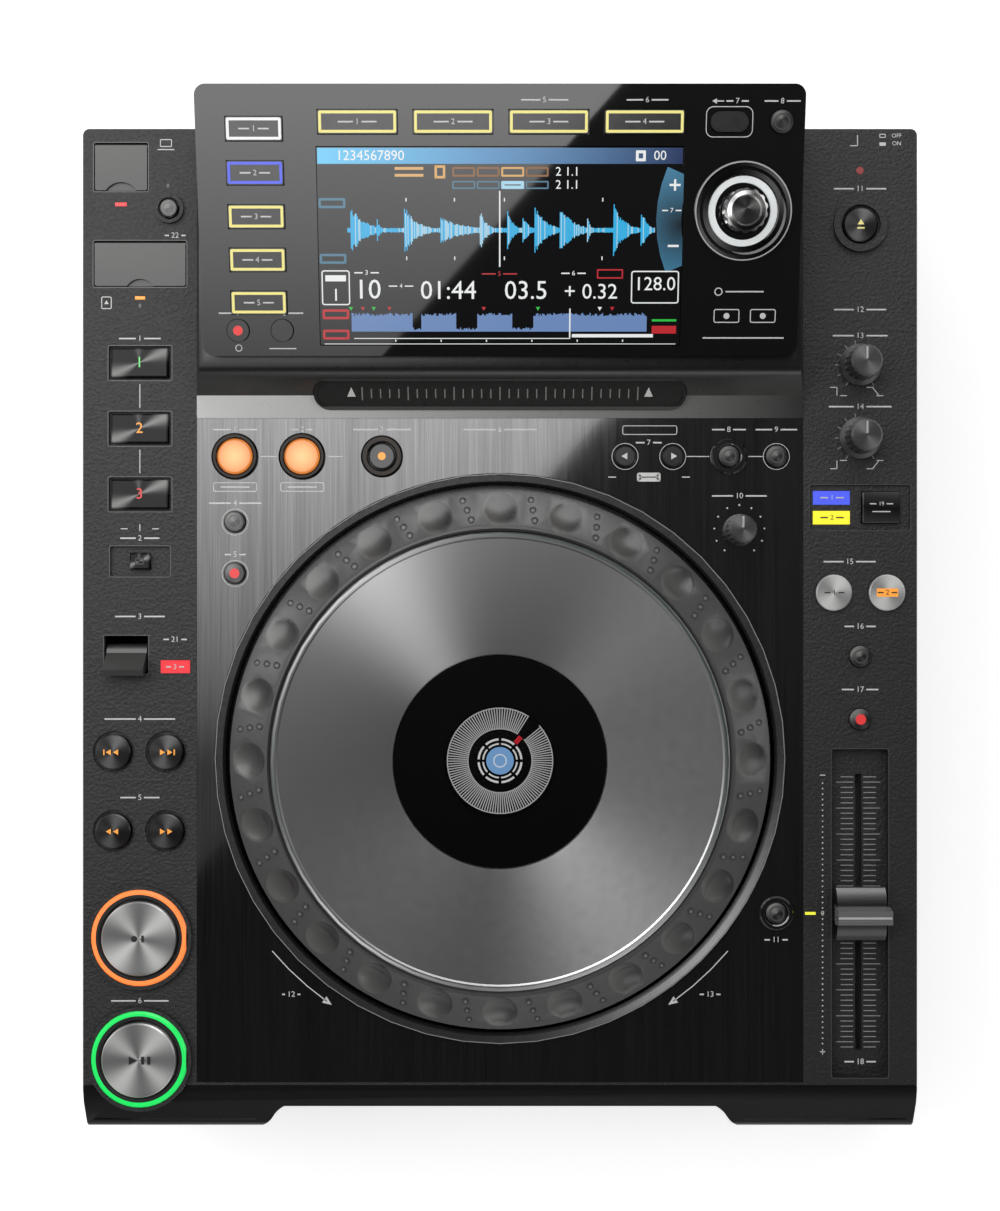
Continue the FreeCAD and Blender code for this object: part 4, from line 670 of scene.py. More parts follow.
# Pale marks in the corner under the selector
panel_print.ring(80.4, 23.4, 1.5, 1.1).bar(90.0, 23.4, 14.0, 0.5)
for x, width in ((83.6, 9.5), (97.0, 9.5)):
    panel_print.frame(x, 14.6, width, 5.0, 0.35, 0.8).disc(x, 14.6, 1.1)
panel_print.bar(90.0, 6.6, 30.0, 0.5).lay(panel(INK_LIFT))
# The search strip on the sloping face under the screen, with its ticks and end marks
STRIP_Y, STRIP_Z, STRIP_TILT = 85.0, 71.4, 24.0
strip_face = (Matrix.Translation((0, STRIP_Y * MM, STRIP_Z * MM))
              @ Matrix.Rotation(math.radians(STRIP_TILT), 4, "X") @ Matrix.Translation((0, 0, 0.15 * MM)))
pad = Finish("strip_pad", (0.016, 0.016, 0.015), 0.35)
_, back, up = pad.axes()
off_middle = (back - STRIP_Y * MM) * 0.91 + (up - STRIP_Z * MM) * 0.41
rim = off_middle.math("ABSOLUTE", off_middle) > 5.05 * MM
pad.gloss(0.24, 0.36, 500.0)
pad.tone(rim, (0.014, 0.014, 0.013), (0.075, 0.075, 0.072))
dressed("needle_search_strip", pad)
strip_print = Print("strip_ticks", ink("strip_tick_grey", (0.26, 0.26, 0.25)), slot="strip_pad")
for i in range(-15, 16):
    strip_print.bar(i * 3.5, 0, 0.45, 5.2 if i % 5 == 0 else 3.6)
strip_print.lay(strip_face)
strip_ends = Print("strip_arrows", white_ink, slot="strip_pad")
for side in (-1, 1):
    strip_ends.triangle(side * 56.6, 0, 1.9, 90, 1.3)
strip_ends.lay(strip_face)

# Screen picture
# What the lit screen shows: a title bar, two rows of phase boxes, a scrolling wave, the track and
# time figures, and the whole track drawn small below. The layout and every figure are generic.
SCREEN_LIFT, OVERPRINT = -0.12, 0.03
SCREEN_HALF = 66.2
ON_SCREEN, OVER_SCREEN = panel(SCREEN_LIFT), panel(SCREEN_LIFT + OVERPRINT)


def lit(name, color, glow=1.0):
    """A colour of the screen, with the fine raster of its pixels."""
    one = Finish(name, (0.0, 0.0, 0.0), 0.25)
    x, y, _ = one.axes()
    raster = x.math("SINE", x * 12000.0) * 0.5 + y.math("SINE", y * 12000.0) * 0.5
    one.put("Emission Color", one.mix(raster * 0.25 + 0.5, tuple(c * 0.75 for c in color), color))
    one.put("Emission Strength", glow)
    return one


title_blue = Finish("screen_title", (0, 0, 0), 0.25, Emission_Strength=1.0)
title_blue.put("Emission Color", title_blue.node(
    "ValToRGB", {"stops": [(0.0, (0.13, 0.55, 0.85)), (0.45, (0.08, 0.26, 0.50)),
                           (1.0, (0.006, 0.02, 0.09))]}, {"Fac": title_blue.axes()[0] * 7.5 + 0.5}))
screen_white = lit("screen_white", (0.90, 0.92, 0.92))
screen_cyan = lit("screen_cyan", (0.03, 0.50, 0.90))
screen_pale = lit("screen_pale", (0.42, 0.72, 0.90))
screen_orange = lit("screen_orange", (0.75, 0.42, 0.14))
screen_brown = lit("screen_brown", (0.26, 0.11, 0.03))
screen_slate = lit("screen_slate", (0.15, 0.26, 0.52))
screen_teal = lit("screen_teal", (0.07, 0.20, 0.30))
screen_red = lit("screen_red", (0.55, 0.02, 0.03))
screen_green = lit("screen_green", (0.03, 0.55, 0.06))


def screen(name, color):
    return Print("screen_" + name, color, slot="screen")


screen("title_bar", title_blue).bar(0, 71.6, 2 * SCREEN_HALF, 5.6).lay(ON_SCREEN)
figures = screen("figures", screen_white)
figures.text("1234567890", -47.0, 71.6, 3.6).text("2 1.1", 24.5, 66.0, 3.2)
figures.text("2 1.1", 24.5, 61.4, 3.2).frame(51.0, 71.6, 3.6, 3.8, 1.0, 0.3).text("00", 58.0, 71.6, 3.4)
figures.bar(-0.1, 45.8, 0.5, 27.0)
for x in (-34.2, -16.6, 1.6, 37.4):
    for v in (56.2, 35.4):
        figures.bar(x, v, 0.4, 1.3)
figures.frame(-60.4, 24.8, 10.4, 12.6, 0.45, 1.0).text("1", -60.4, 22.0, 4.6).bar(-60.4, 28.2, 7.6, 2.2)
figures.label("3", -49.0, 30.2, 9.0, 1.8).text("10", -48.6, 23.9, 7.2).label("4", -36.4, 25.4, 9.0, 1.6)
figures.text("01:44", -19.0, 23.6, 6.8).text("03.5", 9.6, 23.6, 6.8).label("6", 27.0, 30.0, 9.0, 1.8)
figures.text("+ 0.32", 33.4, 23.2, 5.6).frame(57.0, 25.0, 17.6, 11.8, 0.45, 1.0)
figures.text("128.0", 57.0, 26.0, 5.0).bar(41.6, 7.4, 30.0, 1.2).bar(25.8, 12.0, 0.5, 10.6)
figures.bar(-14.0, 6.4, 80.0, 0.3).bar(0.0, 4.4, 130.0, 0.25)
for i in range(6):
    figures.bar(-38.6 + i * 16.8, 5.6, 0.4, 0.8)
figures.triangle(36.8, 17.4, 0.9, 270).lay(OVER_SCREEN)
orange_boxes = screen("orange_boxes", screen_orange)
orange_boxes.frame(-21.8, 66.0, 3.9, 4.6, 0.9, 0.2).bar(-33.0, 67.2, 10.4, 1.0)
orange_boxes.bar(-33.0, 64.8, 10.4, 1.0)
brown_boxes = screen("brown_boxes", screen_brown)
blue_boxes = screen("blue_boxes", screen_teal)
pale_boxes = screen("pale_boxes", screen_pale)
for i in range(4):
    x = -13.2 + i * 8.9
    (orange_boxes if i == 2 else brown_boxes).frame(x, 66.0, 8.3, 3.4, 0.7, 0.5)
    (pale_boxes if i == 2 else blue_boxes).frame(x, 61.4, 8.3, 2.8, 1.2 if i == 2 else 0.5, 0.4)
for v in (55.0, 35.2):
    blue_boxes.frame(-61.2, v, 9.8, 3.6, 0.9, 0.6)
for boxes in (orange_boxes, brown_boxes, blue_boxes):
    boxes.lay(ON_SCREEN)
# The wave: loud bursts that die away, drawn as upright strokes of two brightnesses
random.seed(11)
WAVE_LEFT, WAVE_RIGHT, WAVE_V = -55.6, 56.4, 45.4
BURSTS = [(-54.6, 9.2, 5.0), (-45.0, 4.6, 1.2), (-35.2, 9.6, 4.6), (-22.0, 5.0, 9.0), (-7.4, 8.0, 2.4),
          (2.4, 8.2, 2.2), (8.0, 6.6, 2.0), (12.6, 8.8, 4.2), (21.6, 9.8, 4.6), (31.6, 9.0, 0.9),
          (41.4, 10.0, 3.8), (51.4, 8.2, 2.2)]
wave = screen("wave", screen_cyan)
x = WAVE_LEFT
while x < WAVE_RIGHT:
    height = 0.9
    for start, tall, length in BURSTS:
        if x >= start - 0.3:
            height = max(height, tall * math.exp(-(x - start) / length) if x > start else 0)
    height *= random.uniform(0.68, 1.0)
    bright = random.random() < (0.75 if -36 < x < -4 else 0.22)
    (pale_boxes if bright else wave).bar(x, WAVE_V, 0.36, 2 * height)
    x += 0.4
wave.lay(ON_SCREEN)
pale_boxes.lay(ON_SCREEN)
# The whole track in small, with gaps where it is quiet
small_wave = screen("small_wave", screen_slate)
x = WAVE_LEFT + 1.0
while x < WAVE_RIGHT - 2:
    quiet = -32.4 < x < -29.2 or -16.0 < x < -8.4 or 4.4 < x < 12.4
    tall = random.uniform(0.6, 1.6) if quiet else random.uniform(5.6, 6.8)
    small_wave.bar(x, 8.9 + tall / 2, 0.46, tall)
    x += 0.46
small_wave.lay(ON_SCREEN)
red_marks = screen("red_marks", screen_red)
green_marks = screen("green_marks", screen_green)
for v in (15.2, 7.8):
    red_marks.frame(-60.6, v, 9.8, 3.6, 0.9, 0.6)
red_marks.label("5", -0.2, 29.8, 13.0, 1.7).frame(40.4, 29.8, 9.6, 3.4, 0.5, 0.3)
red_marks.bar(60.6, 9.6, 9.0, 2.8)
for x in (-50.6, -40.8, -6.0, 41.4):
    red_marks.triangle(x, 17.4, 0.9, 270)
for x in (-55.0, -46.6, 14.0):
    green_marks.triangle(x, 17.4, 0.9, 270)
green_marks.bar(60.6, 13.0, 9.0, 0.8)
red_marks.lay(ON_SCREEN)
green_marks.lay(ON_SCREEN)
# The crescent at the right edge that shows the picture can be stretched or shrunk
bulge = Finish("screen_bulge", (0, 0, 0), 0.25, Emission_Strength=1.0)
near = bulge.reach(66.0, 143.0)
bulge.put("Emission Color", bulge.mix(near * 48.0, (0.002, 0.006, 0.012), (0.05, 0.20, 0.33)))
screen("crescent", bulge).ring(105.0, 49.0, 48.0, 38.9, 157.0, 46.0).lay(ON_SCREEN)
crescent_signs = screen("crescent_signs", screen_white)
crescent_signs.bar(63.6, 61.4, 4.0, 0.8).bar(63.6, 61.4, 0.8, 4.0).bar(63.4, 39.8, 4.0, 0.8)
crescent_signs.label("7", 62.6, 52.4, 7.0, 1.7).lay(OVER_SCREEN)

# Jog wheel
# Bezel ring, fixed dish and bearing post; the moulded dial with finger dimples turns on the post,
# and the spun aluminium touch plate with its smoked window sits in it.
BEZEL_EDGE_R = 109.1
bezel = Finish("jog_bezel", (0.03, 0.03, 0.031), 0.25)
ledge = bezel.reach(0, JOG_Y) > 105.2 * MM
# Painted highlight: the outer ledge is painted pale towards the lower right, where it catches the light.
ledge_painted_highlight = bezel.turn(0, JOG_Y).lobe(-43, 24.0) * 0.95 + 0.05
bezel.gloss(0.22, 0.32, 300.0)
bezel.tone(ledge * ledge_painted_highlight, grey(0.004), grey(0.50))
dressed("jog_base", bezel)
# Painted highlight: a thin pale ring printed on the bezel's outer edge stands for the glint along it.
painted_rim_highlight = Finish("bezel_rim_painted_highlight", grey(0.32), 0.3)
painted_rim_highlight.gloss(0.26, 0.36, 60.0, 4.0)
(Print("jog_bezel_edge_highlight", painted_rim_highlight, slot="jog_bezel")
 .ring(0, JOG_Y, BEZEL_EDGE_R, BEZEL_EDGE_R - 0.3).lay(flat(69.24)))

# The dial: hollows painted dark as shade and paler on the side that faces the light, in a satin slope
# painted darker towards its outer edge
DIMPLES, DIMPLE_R, DIMPLE_HALF = 24, 95.0, 6.7
dial = Finish("dial_plastic", grey(0.06), 0.3)
dimple_turn = dial.turn(0, JOG_Y) * (DIMPLES / (2 * math.pi))
dimple_turn = dimple_turn.math("ROUND", dimple_turn) * (2 * math.pi / DIMPLES)
across, back, _ = dial.axes(0, JOG_Y)
off_x = across - dimple_turn.math("COSINE", dimple_turn) * (DIMPLE_R * MM)
off_y = back - dimple_turn.math("SINE", dimple_turn) * (DIMPLE_R * MM)
in_dimple = (off_x * off_x + off_y * off_y) ** 0.5 < DIMPLE_HALF * MM
slope = dial.noise(size=900.0, detail=3.0) * 0.35 + (dial.reach(0, JOG_Y) - 87.0 * MM) * 11.2
slope = dial.mix(slope, (0.085, 0.085, 0.084), grey(0.026))
# Painted light and shade inside each dimple: dark on one side, paler on the side towards the light.
dimple_painted_light = dial.mix(0.5 - off_x * 90.0 - off_y * 40.0, (0.016, 0.016, 0.017), (0.115, 0.113, 0.108))
dial.tone(in_dimple, slope, dimple_painted_light)
dial.gloss(0.24, 0.36, 500.0, 3.0)
dressed("jog_dial", dial, smooth=28.0)
# Painted highlights: a pale disc on each raised dot stands for the glint on its top.
painted_dot_highlight = ink("dial_dot_painted_highlight", (0.22, 0.22, 0.21), roughness=0.25)
for row, dot_z in ((-1, 79.16), (0, 76.61), (1, 74.06)):
    dots = Print("dial_dots_%d" % (row + 2), painted_dot_highlight, "jog_dial", "dial")
    reach = DIMPLE_R + 0.3 + 3.9 * row
    for i in range(DIMPLES):
        dots.disc(*polar(0, JOG_Y, reach, 15 * i + 7.5 + 0.7 * row), 0.55, 12)
    dots.lay(flat(dot_z + OVERPRINT))


def painted_fans(finish, centre, lobes, low, high, ripple=0.12, pitch=0.35 * MM):
    """Painted highlight fans of a lathe-turned face, at (degrees, narrowness, strength), over fine rings.
    """
    turn, reach = finish.turn(*centre), finish.reach(*centre)
    light = sum(turn.lobe(place, width) * strength for place, width, strength in lobes)
    fine = finish.node("TexNoise", {"noise_dimensions": "1D"},
                       {"W": reach * 3500.0, "Scale": 1.0, "Detail": 3.0})
    finish.tone(light.math("MINIMUM", light, 1.0) * (1 - fine * ripple), low, high)
    finish.bump(reach.math("SINE", reach * (2 * math.pi / pitch)) * 0.5 + 0.5, 0.04, 0.00003)


# Painted highlights: the spun plate's reflections are painted as bright fans, strongest towards the lower
# right.
platter = Finish("spun_aluminium", grey(0.5), 0.3, 0.75)
painted_fans(platter, (0, JOG_Y), [(305, 20, 0.85), (350, 6, 0.25), (238, 10, 0.20), (42, 40, 0.12),
                           (124, 50, 0.26)], grey(0.09), grey(0.95))
platter.gloss(0.3, 0.36, 300.0)
dressed("jog_platter", platter, smooth=25.0)
# Painted highlight: a thin ring on the platter's lip, painted bright in fans where the edge catches the
# light.
painted_lip_highlight = Finish("platter_lip_painted_highlight", grey(0.5), 0.3)
painted_fans(painted_lip_highlight, (0, JOG_Y), [(138, 14, 0.95), (228, 24, 0.95), (300, 12, 0.6)],
     (0.05, 0.07, 0.065), grey(0.88))
Print("platter_lip", painted_lip_highlight, "jog_platter", "platter").ring(0, JOG_Y, 85.9, 85.0).lay(flat(81.02))
CLEAR_R = 21.0
smoked = Finish("smoked_window", grey(0.002), 0.03)
smoked.gloss(0.02, 0.05, 60.0)
smoked.put("Alpha", 1.0 - (smoked.reach(0, JOG_Y) < CLEAR_R * MM) * 0.72)
dressed("jog_window", smoked)
display_glass = Finish("display_glass", grey(0.003), 0.2)
display_glass.gloss(0.15, 0.25, 60.0, 4.0)
paint("jog_display", display_glass)

# Jog display
# Fluorescent rings of the round display, seen through the smoked window: a red marker, a fine striped
# ring and a pale disc. The display is fixed in the bearing post and doesn't turn with the wheel.
ON_DISPLAY, OVER_DISPLAY = flat(77.0 + INK_LIFT), flat(77.0 + INK_LIFT + OVERPRINT)


def round_display(name, color):
    return Print("jog_display_" + name, color, slot="jog_screen")


DISPLAY_GLOW = 1.35
fine_lines = round_display("stripes", lit("display_silver", grey(0.50), DISPLAY_GLOW))
for i in range(115):
    turn = 57.5 + i * 3.0
    fine_lines.bar(*polar(0, JOG_Y, 15.9, turn), 8.0, 0.42, turn)
for r_out, r_in in ((20.1, 19.7), (12.2, 11.9)):
    fine_lines.ring(0, JOG_Y, r_out, r_in, 57, 345)
fine_lines.lay(ON_DISPLAY)
display_white = round_display("rings", lit("display_white", grey(0.80), DISPLAY_GLOW))
for i in range(8):
    for r_out, r_in in ((8.5, 7.7), (6.7, 6.1)):
        display_white.ring(0, JOG_Y, r_out, r_in, i * 45 + 4, 37)
display_white.lay(ON_DISPLAY)
(round_display("disc", lit("display_blue", (0.22, 0.45, 0.80), DISPLAY_GLOW))
 .disc(0, JOG_Y, 5.2, 40).lay(ON_DISPLAY))
(round_display("digit", lit("display_pale", (0.75, 0.85, 0.95), DISPLAY_GLOW))
 .ring(0, JOG_Y, 2.6, 2.1).lay(OVER_DISPLAY))
(round_display("marker", lit("display_red", (0.60, 0.02, 0.03), DISPLAY_GLOW))
 .bar(*polar(0, JOG_Y, 10.4, 49), 3.2, 1.8, 49).lay(OVER_DISPLAY))

# Small keys
# Round moulded keys with polished tops that show through holes in the deck and the flanks; some have a
# coloured centre or a symbol that lights.
MARK_LIFT = 0.04
ON_CAP, ON_ROUND_CAP = panel(0.8 + MARK_LIFT), panel(0.9 + MARK_LIFT)


def centre(node):
    """Middle of a piece as seen from above, in millimetres."""
    lo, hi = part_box(node)
    return (lo.x + hi.x) / 2 / MM, (lo.y + hi.y) / 2 / MM


def on_key(node, rise=0.0):
    """The level just over the top of a key."""
    return flat(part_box(node)[1].z / MM + MARK_LIFT + rise)


key_black = Finish("key_black", grey(0.02), 0.2)
key_black.gloss(0.16, 0.26, 800.0)
key_black.tone(key_black.noise(size=200.0), grey(0.012), (0.030, 0.030, 0.031))
for node in ("call_buttons", "power_button", "menu_keys", "source_keys", "back_button",
             "reloop_exit_button"):
    dressed(node, key_black)
for node in ("usb_stop_button", "tempo_range_button", "master_tempo_button", "loop_mode_button",
             "slip_button", "delete_button", "memory_button", "tempo_reset_button", "tag_track_button"):
    # Painted shading: each polished cap is painted light at the upper left and darker towards the lower
    # right, as the light falls on it.
    cap = Finish(node + "_cap", grey(0.05), 0.25)
    painted_fans(cap, centre(node), [(125, 3, 0.8), (300, 12, 0.15)], grey(0.012), (0.30, 0.30, 0.29))
    dressed(node, cap)
for node in ("track_search_back_button", "track_search_forward_button", "search_back_button",
             "search_forward_button", "eject_button"):
    # Painted highlights: bright fans across each polished face, where it catches the light.
    face = Finish(node + "_face", grey(0.05), 0.22, 0.7)
    painted_fans(face, centre(node), [(70, 10, 0.8), (250, 10, 0.6), (160, 16, 0.2)], grey(0.01), grey(0.22))
    dressed(node, face)
lit_orange = ink("lit_orange", (0.95, 0.36, 0.04), 0.5)
lit_yellow = ink("lit_yellow", (0.80, 0.72, 0.22), 0.45)
lit_red = ink("lit_red", (0.75, 0.03, 0.03), 0.4)
lit_green = ink("lit_green", (0.12, 0.60, 0.14), 0.7)
lit_white = ink("lit_white", (0.85, 0.86, 0.86), 0.4)
lit_blue = ink("lit_blue", (0.07, 0.10, 0.72), 0.5)
for node, way in (("track_search_back_button", 180), ("search_back_button", 180),
                  ("track_search_forward_button", 0), ("search_forward_button", 0)):
    x, y = centre(node)
    arrows = Print(node + "_arrows", lit_orange, node)
    for shift in (-1.4, 1.4):
        arrows.triangle(x + shift, y, 1.3, way, 1.0)
    if node.startswith("track"):
        arrows.bar(x + (-3.4 if way else 3.4), y, 0.5, 2.2)
    arrows.lay(on_key(node))
x, y = centre("eject_button")
(Print("eject_symbol", lit_yellow, "eject_button")
 .triangle(x, y + 0.6, 1.5, 90, 0.9).bar(x, y - 1.4, 2.8, 0.6).lay(on_key("eject_button")))
for node, color, r in (("slip_button", lit_red, 1.9), ("master_tempo_button", lit_red, 2.0),
                       ("reloop_exit_button", lit_orange, 1.5)):
    Print(node + "_dot", color, node).disc(*centre(node), r).lay(on_key(node))
# Painted highlight: a grey ring round each cap's edge stands for the light on its chamfer.
for node, r in (("usb_stop_button", 2.0), ("tempo_range_button", 2.2), ("loop_mode_button", 2.2),
                ("memory_button", 2.2), ("tempo_reset_button", 2.4), ("delete_button", 2.2)):
    (Print(node + "_facet", ink(node + "_facet_grey", grey(0.10), roughness=0.25), node)
     .ring(*centre(node), r + 0.5, r).lay(on_key(node)))
(Print("call_arrows", white_ink, "call_buttons")
 .triangle(47.9, LOOP_ROW, 1.5, 180).triangle(66.2, LOOP_ROW, 1.5, 0).lay(on_key("call_buttons")))
Print("quantize_dot", lit_red, "source_keys", "panel_key").disc(-96.8, 9.3, 1.8).lay(ON_ROUND_CAP)
# Painted highlight: the same grey ring round the tag key's edge.
tag_ring_highlight = ink("tag_facet_grey", grey(0.08), roughness=0.25)
Print("tag_facet", tag_ring_highlight, "tag_track_button", "panel_key").ring(101.6, 83.4, 2.9, 2.4).lay(ON_ROUND_CAP)

# Loop keys
# Large domed lenses lit orange from below, brighter in the middle. Both share one material, which
# takes its distance from the nearer of the two middles.
orange = Finish("loop_lens", (0.95, 0.45, 0.15), 0.28)
from_in, from_out = orange.reach(-101.5, LOOP_ROW), orange.reach(-75.8, LOOP_ROW)
nearer = from_in.math("MINIMUM", from_in, from_out)
orange.put("Emission Color", orange.mix((nearer * 150.0) ** 1.6, (1.0, 0.58, 0.26), (0.62, 0.17, 0.02)))
orange.tone(orange.noise(size=500.0), (0.30, 0.10, 0.02), (0.38, 0.14, 0.03))
orange.put("Emission Strength", 0.85)
for node in ("loop_in_button", "loop_out_button"):
    dressed(node, orange)

# Block keys, doors and lever
# Rectangular keys with a painted highlight streak on their tops and a lit figure on each hot cue key, the
# mirror-like jog mode key with a painted reflection, and the two doors and the direction lever in matt
# plastic.
for node in ("hot_cue_a_button", "hot_cue_b_button", "hot_cue_c_button", "rec_call_button"):
    # Painted highlight: a pale streak across the top, from the lower left to the upper right.
    streak_painted_highlight = Finish(node + "_face", grey(0.1), 0.25, Specular_IOR_Level=0.15)
    painted_fans(streak_painted_highlight, centre(node), [(24, 70, 1.0), (204, 70, 0.9), (95, 90, 0.3)], grey(0.004),
         (0.36, 0.36, 0.35), ripple=0.05)
    dressed(node, streak_painted_highlight)
lo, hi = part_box("jog_mode_button")
mirror = Finish("jog_mode_button_face", grey(0.1), 0.16, 0.6)
across, back, _ = mirror.axes(lo.x / MM, lo.y / MM)
# Painted reflection: bands of light and dark slant across the mirror-like top.
painted_reflection_band = mirror.node("ValToRGB", {"stops": [(0.0, grey(0.55)), (0.40, grey(0.10)), (0.52, grey(0.02)),
                                          (0.80, grey(0.35)), (1.0, grey(0.95))]},
                   {"Fac": back / (hi.y - lo.y) + across * 4.0})
mirror.tone(painted_reflection_band, grey(0.012), grey(0.16))
mirror.gloss(0.14, 0.2, 400.0)
dressed("jog_mode_button", mirror)
for node in ("usb_door", "sd_door", "direction_lever"):
    matt = Finish(node + "_plastic", (0.07, 0.07, 0.066), 0.35)
    from_front = matt.axes(0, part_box(node)[0].y / MM)[1]
    matt.tone(from_front * 40.0 + 0.1, (0.020, 0.020, 0.019), (0.05, 0.05, 0.047))
    matt.bump(matt.noise(size=1400.0), 0.2, 0.0001)
    dressed(node, matt)
for node, digit, color in (("hot_cue_a_button", "1", lit_green), ("hot_cue_b_button", "2", lit_orange),
                           ("hot_cue_c_button", "3", lit_red)):
    Print(node + "_figure", color, node, "block_key").text(digit, *centre(node), 4.2).lay(on_key(node))
x, y = centre("jog_mode_button")
(Print("jog_mode_mark", white_ink, "jog_mode_button", "block_key")
 .label("19", x, y + 1.4, 9.0, 1.6).bar(x, y - 1.6, 7.0, 0.4).lay(on_key("jog_mode_button")))
(Print("rec_call_mark", ink("rec_dark", grey(0.01)), "rec_call_button", "block_key")
 .frame(*centre("rec_call_button"), 3.4, 2.6, 0.5, 0.3).lay(on_key("rec_call_button")))

# Transport and beat keys
# Cue, play, sync and master keys have faces spun on a lathe, with the figure printed in black. The
# faces of cue and play are sunk a little below their rims.
TRANSPORT_FACE = 70.92
for node, lobes in (("cue_button", [(40, 16, 0.9), (222, 16, 0.9), (128, 24, 0.7), (310, 24, 0.7)]),
                    ("play_button", [(50, 16, 0.9), (232, 16, 0.9), (140, 24, 0.7), (320, 24, 0.7)]),
                    ("beat_sync_button", [(60, 3, 1.0), (240, 3, 0.9)]),
                    ("beat_master_button", [(60, 3, 1.0), (240, 3, 0.9)])):
    # Painted highlights: bright fans on the spun faces, where they catch the light.
    metal = Finish(node + "_metal", grey(0.6), 0.28, 0.35)
    painted_fans(metal, centre(node), lobes, grey(0.18), (0.95, 0.95, 0.93))
    metal.gloss(0.26, 0.34, 300.0)
    dressed(node, metal)
print_black = ink("print_black", grey(0.01))
x, y = centre("play_button")
play = Print("play_symbol", print_black, "play_button", "transport_key")
play.triangle(x - 2.6, y, 1.9, 0, 1.1)
for shift in (1.6, 4.0):
    play.bar(x + shift, y, 1.2, 3.0)
play.lay(flat(TRANSPORT_FACE))
x, y = centre("cue_button")
(Print("cue_symbol", print_black, "cue_button", "transport_key")
 .disc(x - 1.6, y, 1.2).bar(x + 1.6, y, 0.9, 2.6).lay(flat(TRANSPORT_FACE)))
for node, digit in (("beat_sync_button", "1"), ("beat_master_button", "2")):
    x, y = centre(node)
    if node == "beat_master_button":
        Print("beat_master_plate", lit_orange, node, "metal_key").bar(x, y, 8.2, 3.2).lay(on_key(node))
    (Print(node + "_figure", print_black, node, "metal_key")
     .label(digit, x, y, 7.5, 2.0).lay(on_key(node, OVERPRINT)))

# Key frames of the panel
# Thin lit frames round the source and menu keys, printed on the key caps with a plain figure in
# each. Three colours tell the sources apart.
source_yellow = Print("source_frames_yellow", lit_yellow, "source_keys", "panel_key")
source_blue = Print("source_frame_blue", lit_blue, "source_keys", "panel_key")
source_white = Print("source_frame_white", lit_white, "source_keys", "panel_key")
source_figures = Print("source_figures", white_ink, "source_keys", "panel_key")
for i in range(5):
    v = 19.4 + i * 15.4
    (source_white if i == 4 else source_blue if i == 3 else source_yellow).frame(
        -88.8, v, 19.8, 7.7, 1.0, 0.6)
    source_figures.label(str(5 - i), -88.8, v, 11.0, 2.1)
for piece in (source_yellow, source_blue, source_white, source_figures):
    piece.lay(ON_CAP)
menu_frames = Print("menu_frames", lit_yellow, "menu_keys", "panel_key")
menu_figures = Print("menu_figures", white_ink, "menu_keys", "panel_key")
for i in range(4):
    x = -51.4 + 34.5 * i
    menu_frames.frame(x, 83.4, 28.0, 7.7, 1.0, 0.6)
    menu_figures.label(str(i + 1), x, 83.4, 14.0, 2.1)
menu_frames.lay(ON_CAP)
menu_figures.lay(ON_CAP)

# Selector
# Scalloped knob turned from bar with painted highlight fans, on a steel plunger, in a dished ring with a
# polished rim shown by a painted pale ring. The dish's reflection of the room is painted as two fans that
# lie across the knob.
SELECTOR_X, SELECTOR_V, SELECTOR_Y = 88.5, 52.1, 147.8
RIM_RISE, DISH_RISE = 1.53, 1.2
selector_metal = Finish("selector_metal", grey(0.6), 0.18, 1.0)
# Painted highlights: bright fans across the knob.
painted_fans(selector_metal, centre("selector_knob"), [(25, 14, 0.9), (205, 14, 0.9), (115, 24, 0.3)],
     grey(0.10), (0.92, 0.92, 0.90), pitch=0.6 * MM)
selector_metal.gloss(0.14, 0.2, 500.0)
dressed("selector_knob", selector_metal)
shaft_steel = Finish("shaft_steel", grey(0.5), 0.25, 1.0)
shaft_steel.gloss(0.18, 0.35, 300.0, 4.0)
paint("selector_plunger", shaft_steel)
# Painted highlight: a pale ring stands for the glint on the polished rim.
(Print("selector_rim", ink("selector_rim_painted_highlight", grey(0.62), roughness=0.25), slot="panel_gloss")
 .ring(SELECTOR_X, SELECTOR_V, 17.6, 17.15).lay(panel(RIM_RISE)))
# Painted reflection: the dish and its shoulder are painted with two bright fans where they mirror the room.
dish_painted_reflection = Finish("dish_lacquer_painted_reflection", grey(0.02), 0.14, 0.8)
dish_turn = dish_painted_reflection.turn(SELECTOR_X, SELECTOR_Y)
bright = dish_turn.lobe(35, 10.0) * 0.8 + dish_turn.lobe(215, 10.0) * 0.8
dish_painted_reflection.tone(bright, grey(0.01), grey(0.45))
(Print("selector_dish", dish_painted_reflection, slot="panel_gloss")
 .ring(SELECTOR_X, SELECTOR_V, 15.3, 12.95).lay(panel(DISH_RISE)))
(Print("selector_shoulder", dish_painted_reflection, slot="panel_gloss")
 .ring(SELECTOR_X, SELECTOR_V, 17.15, 15.95).lay(panel(RIM_RISE)))

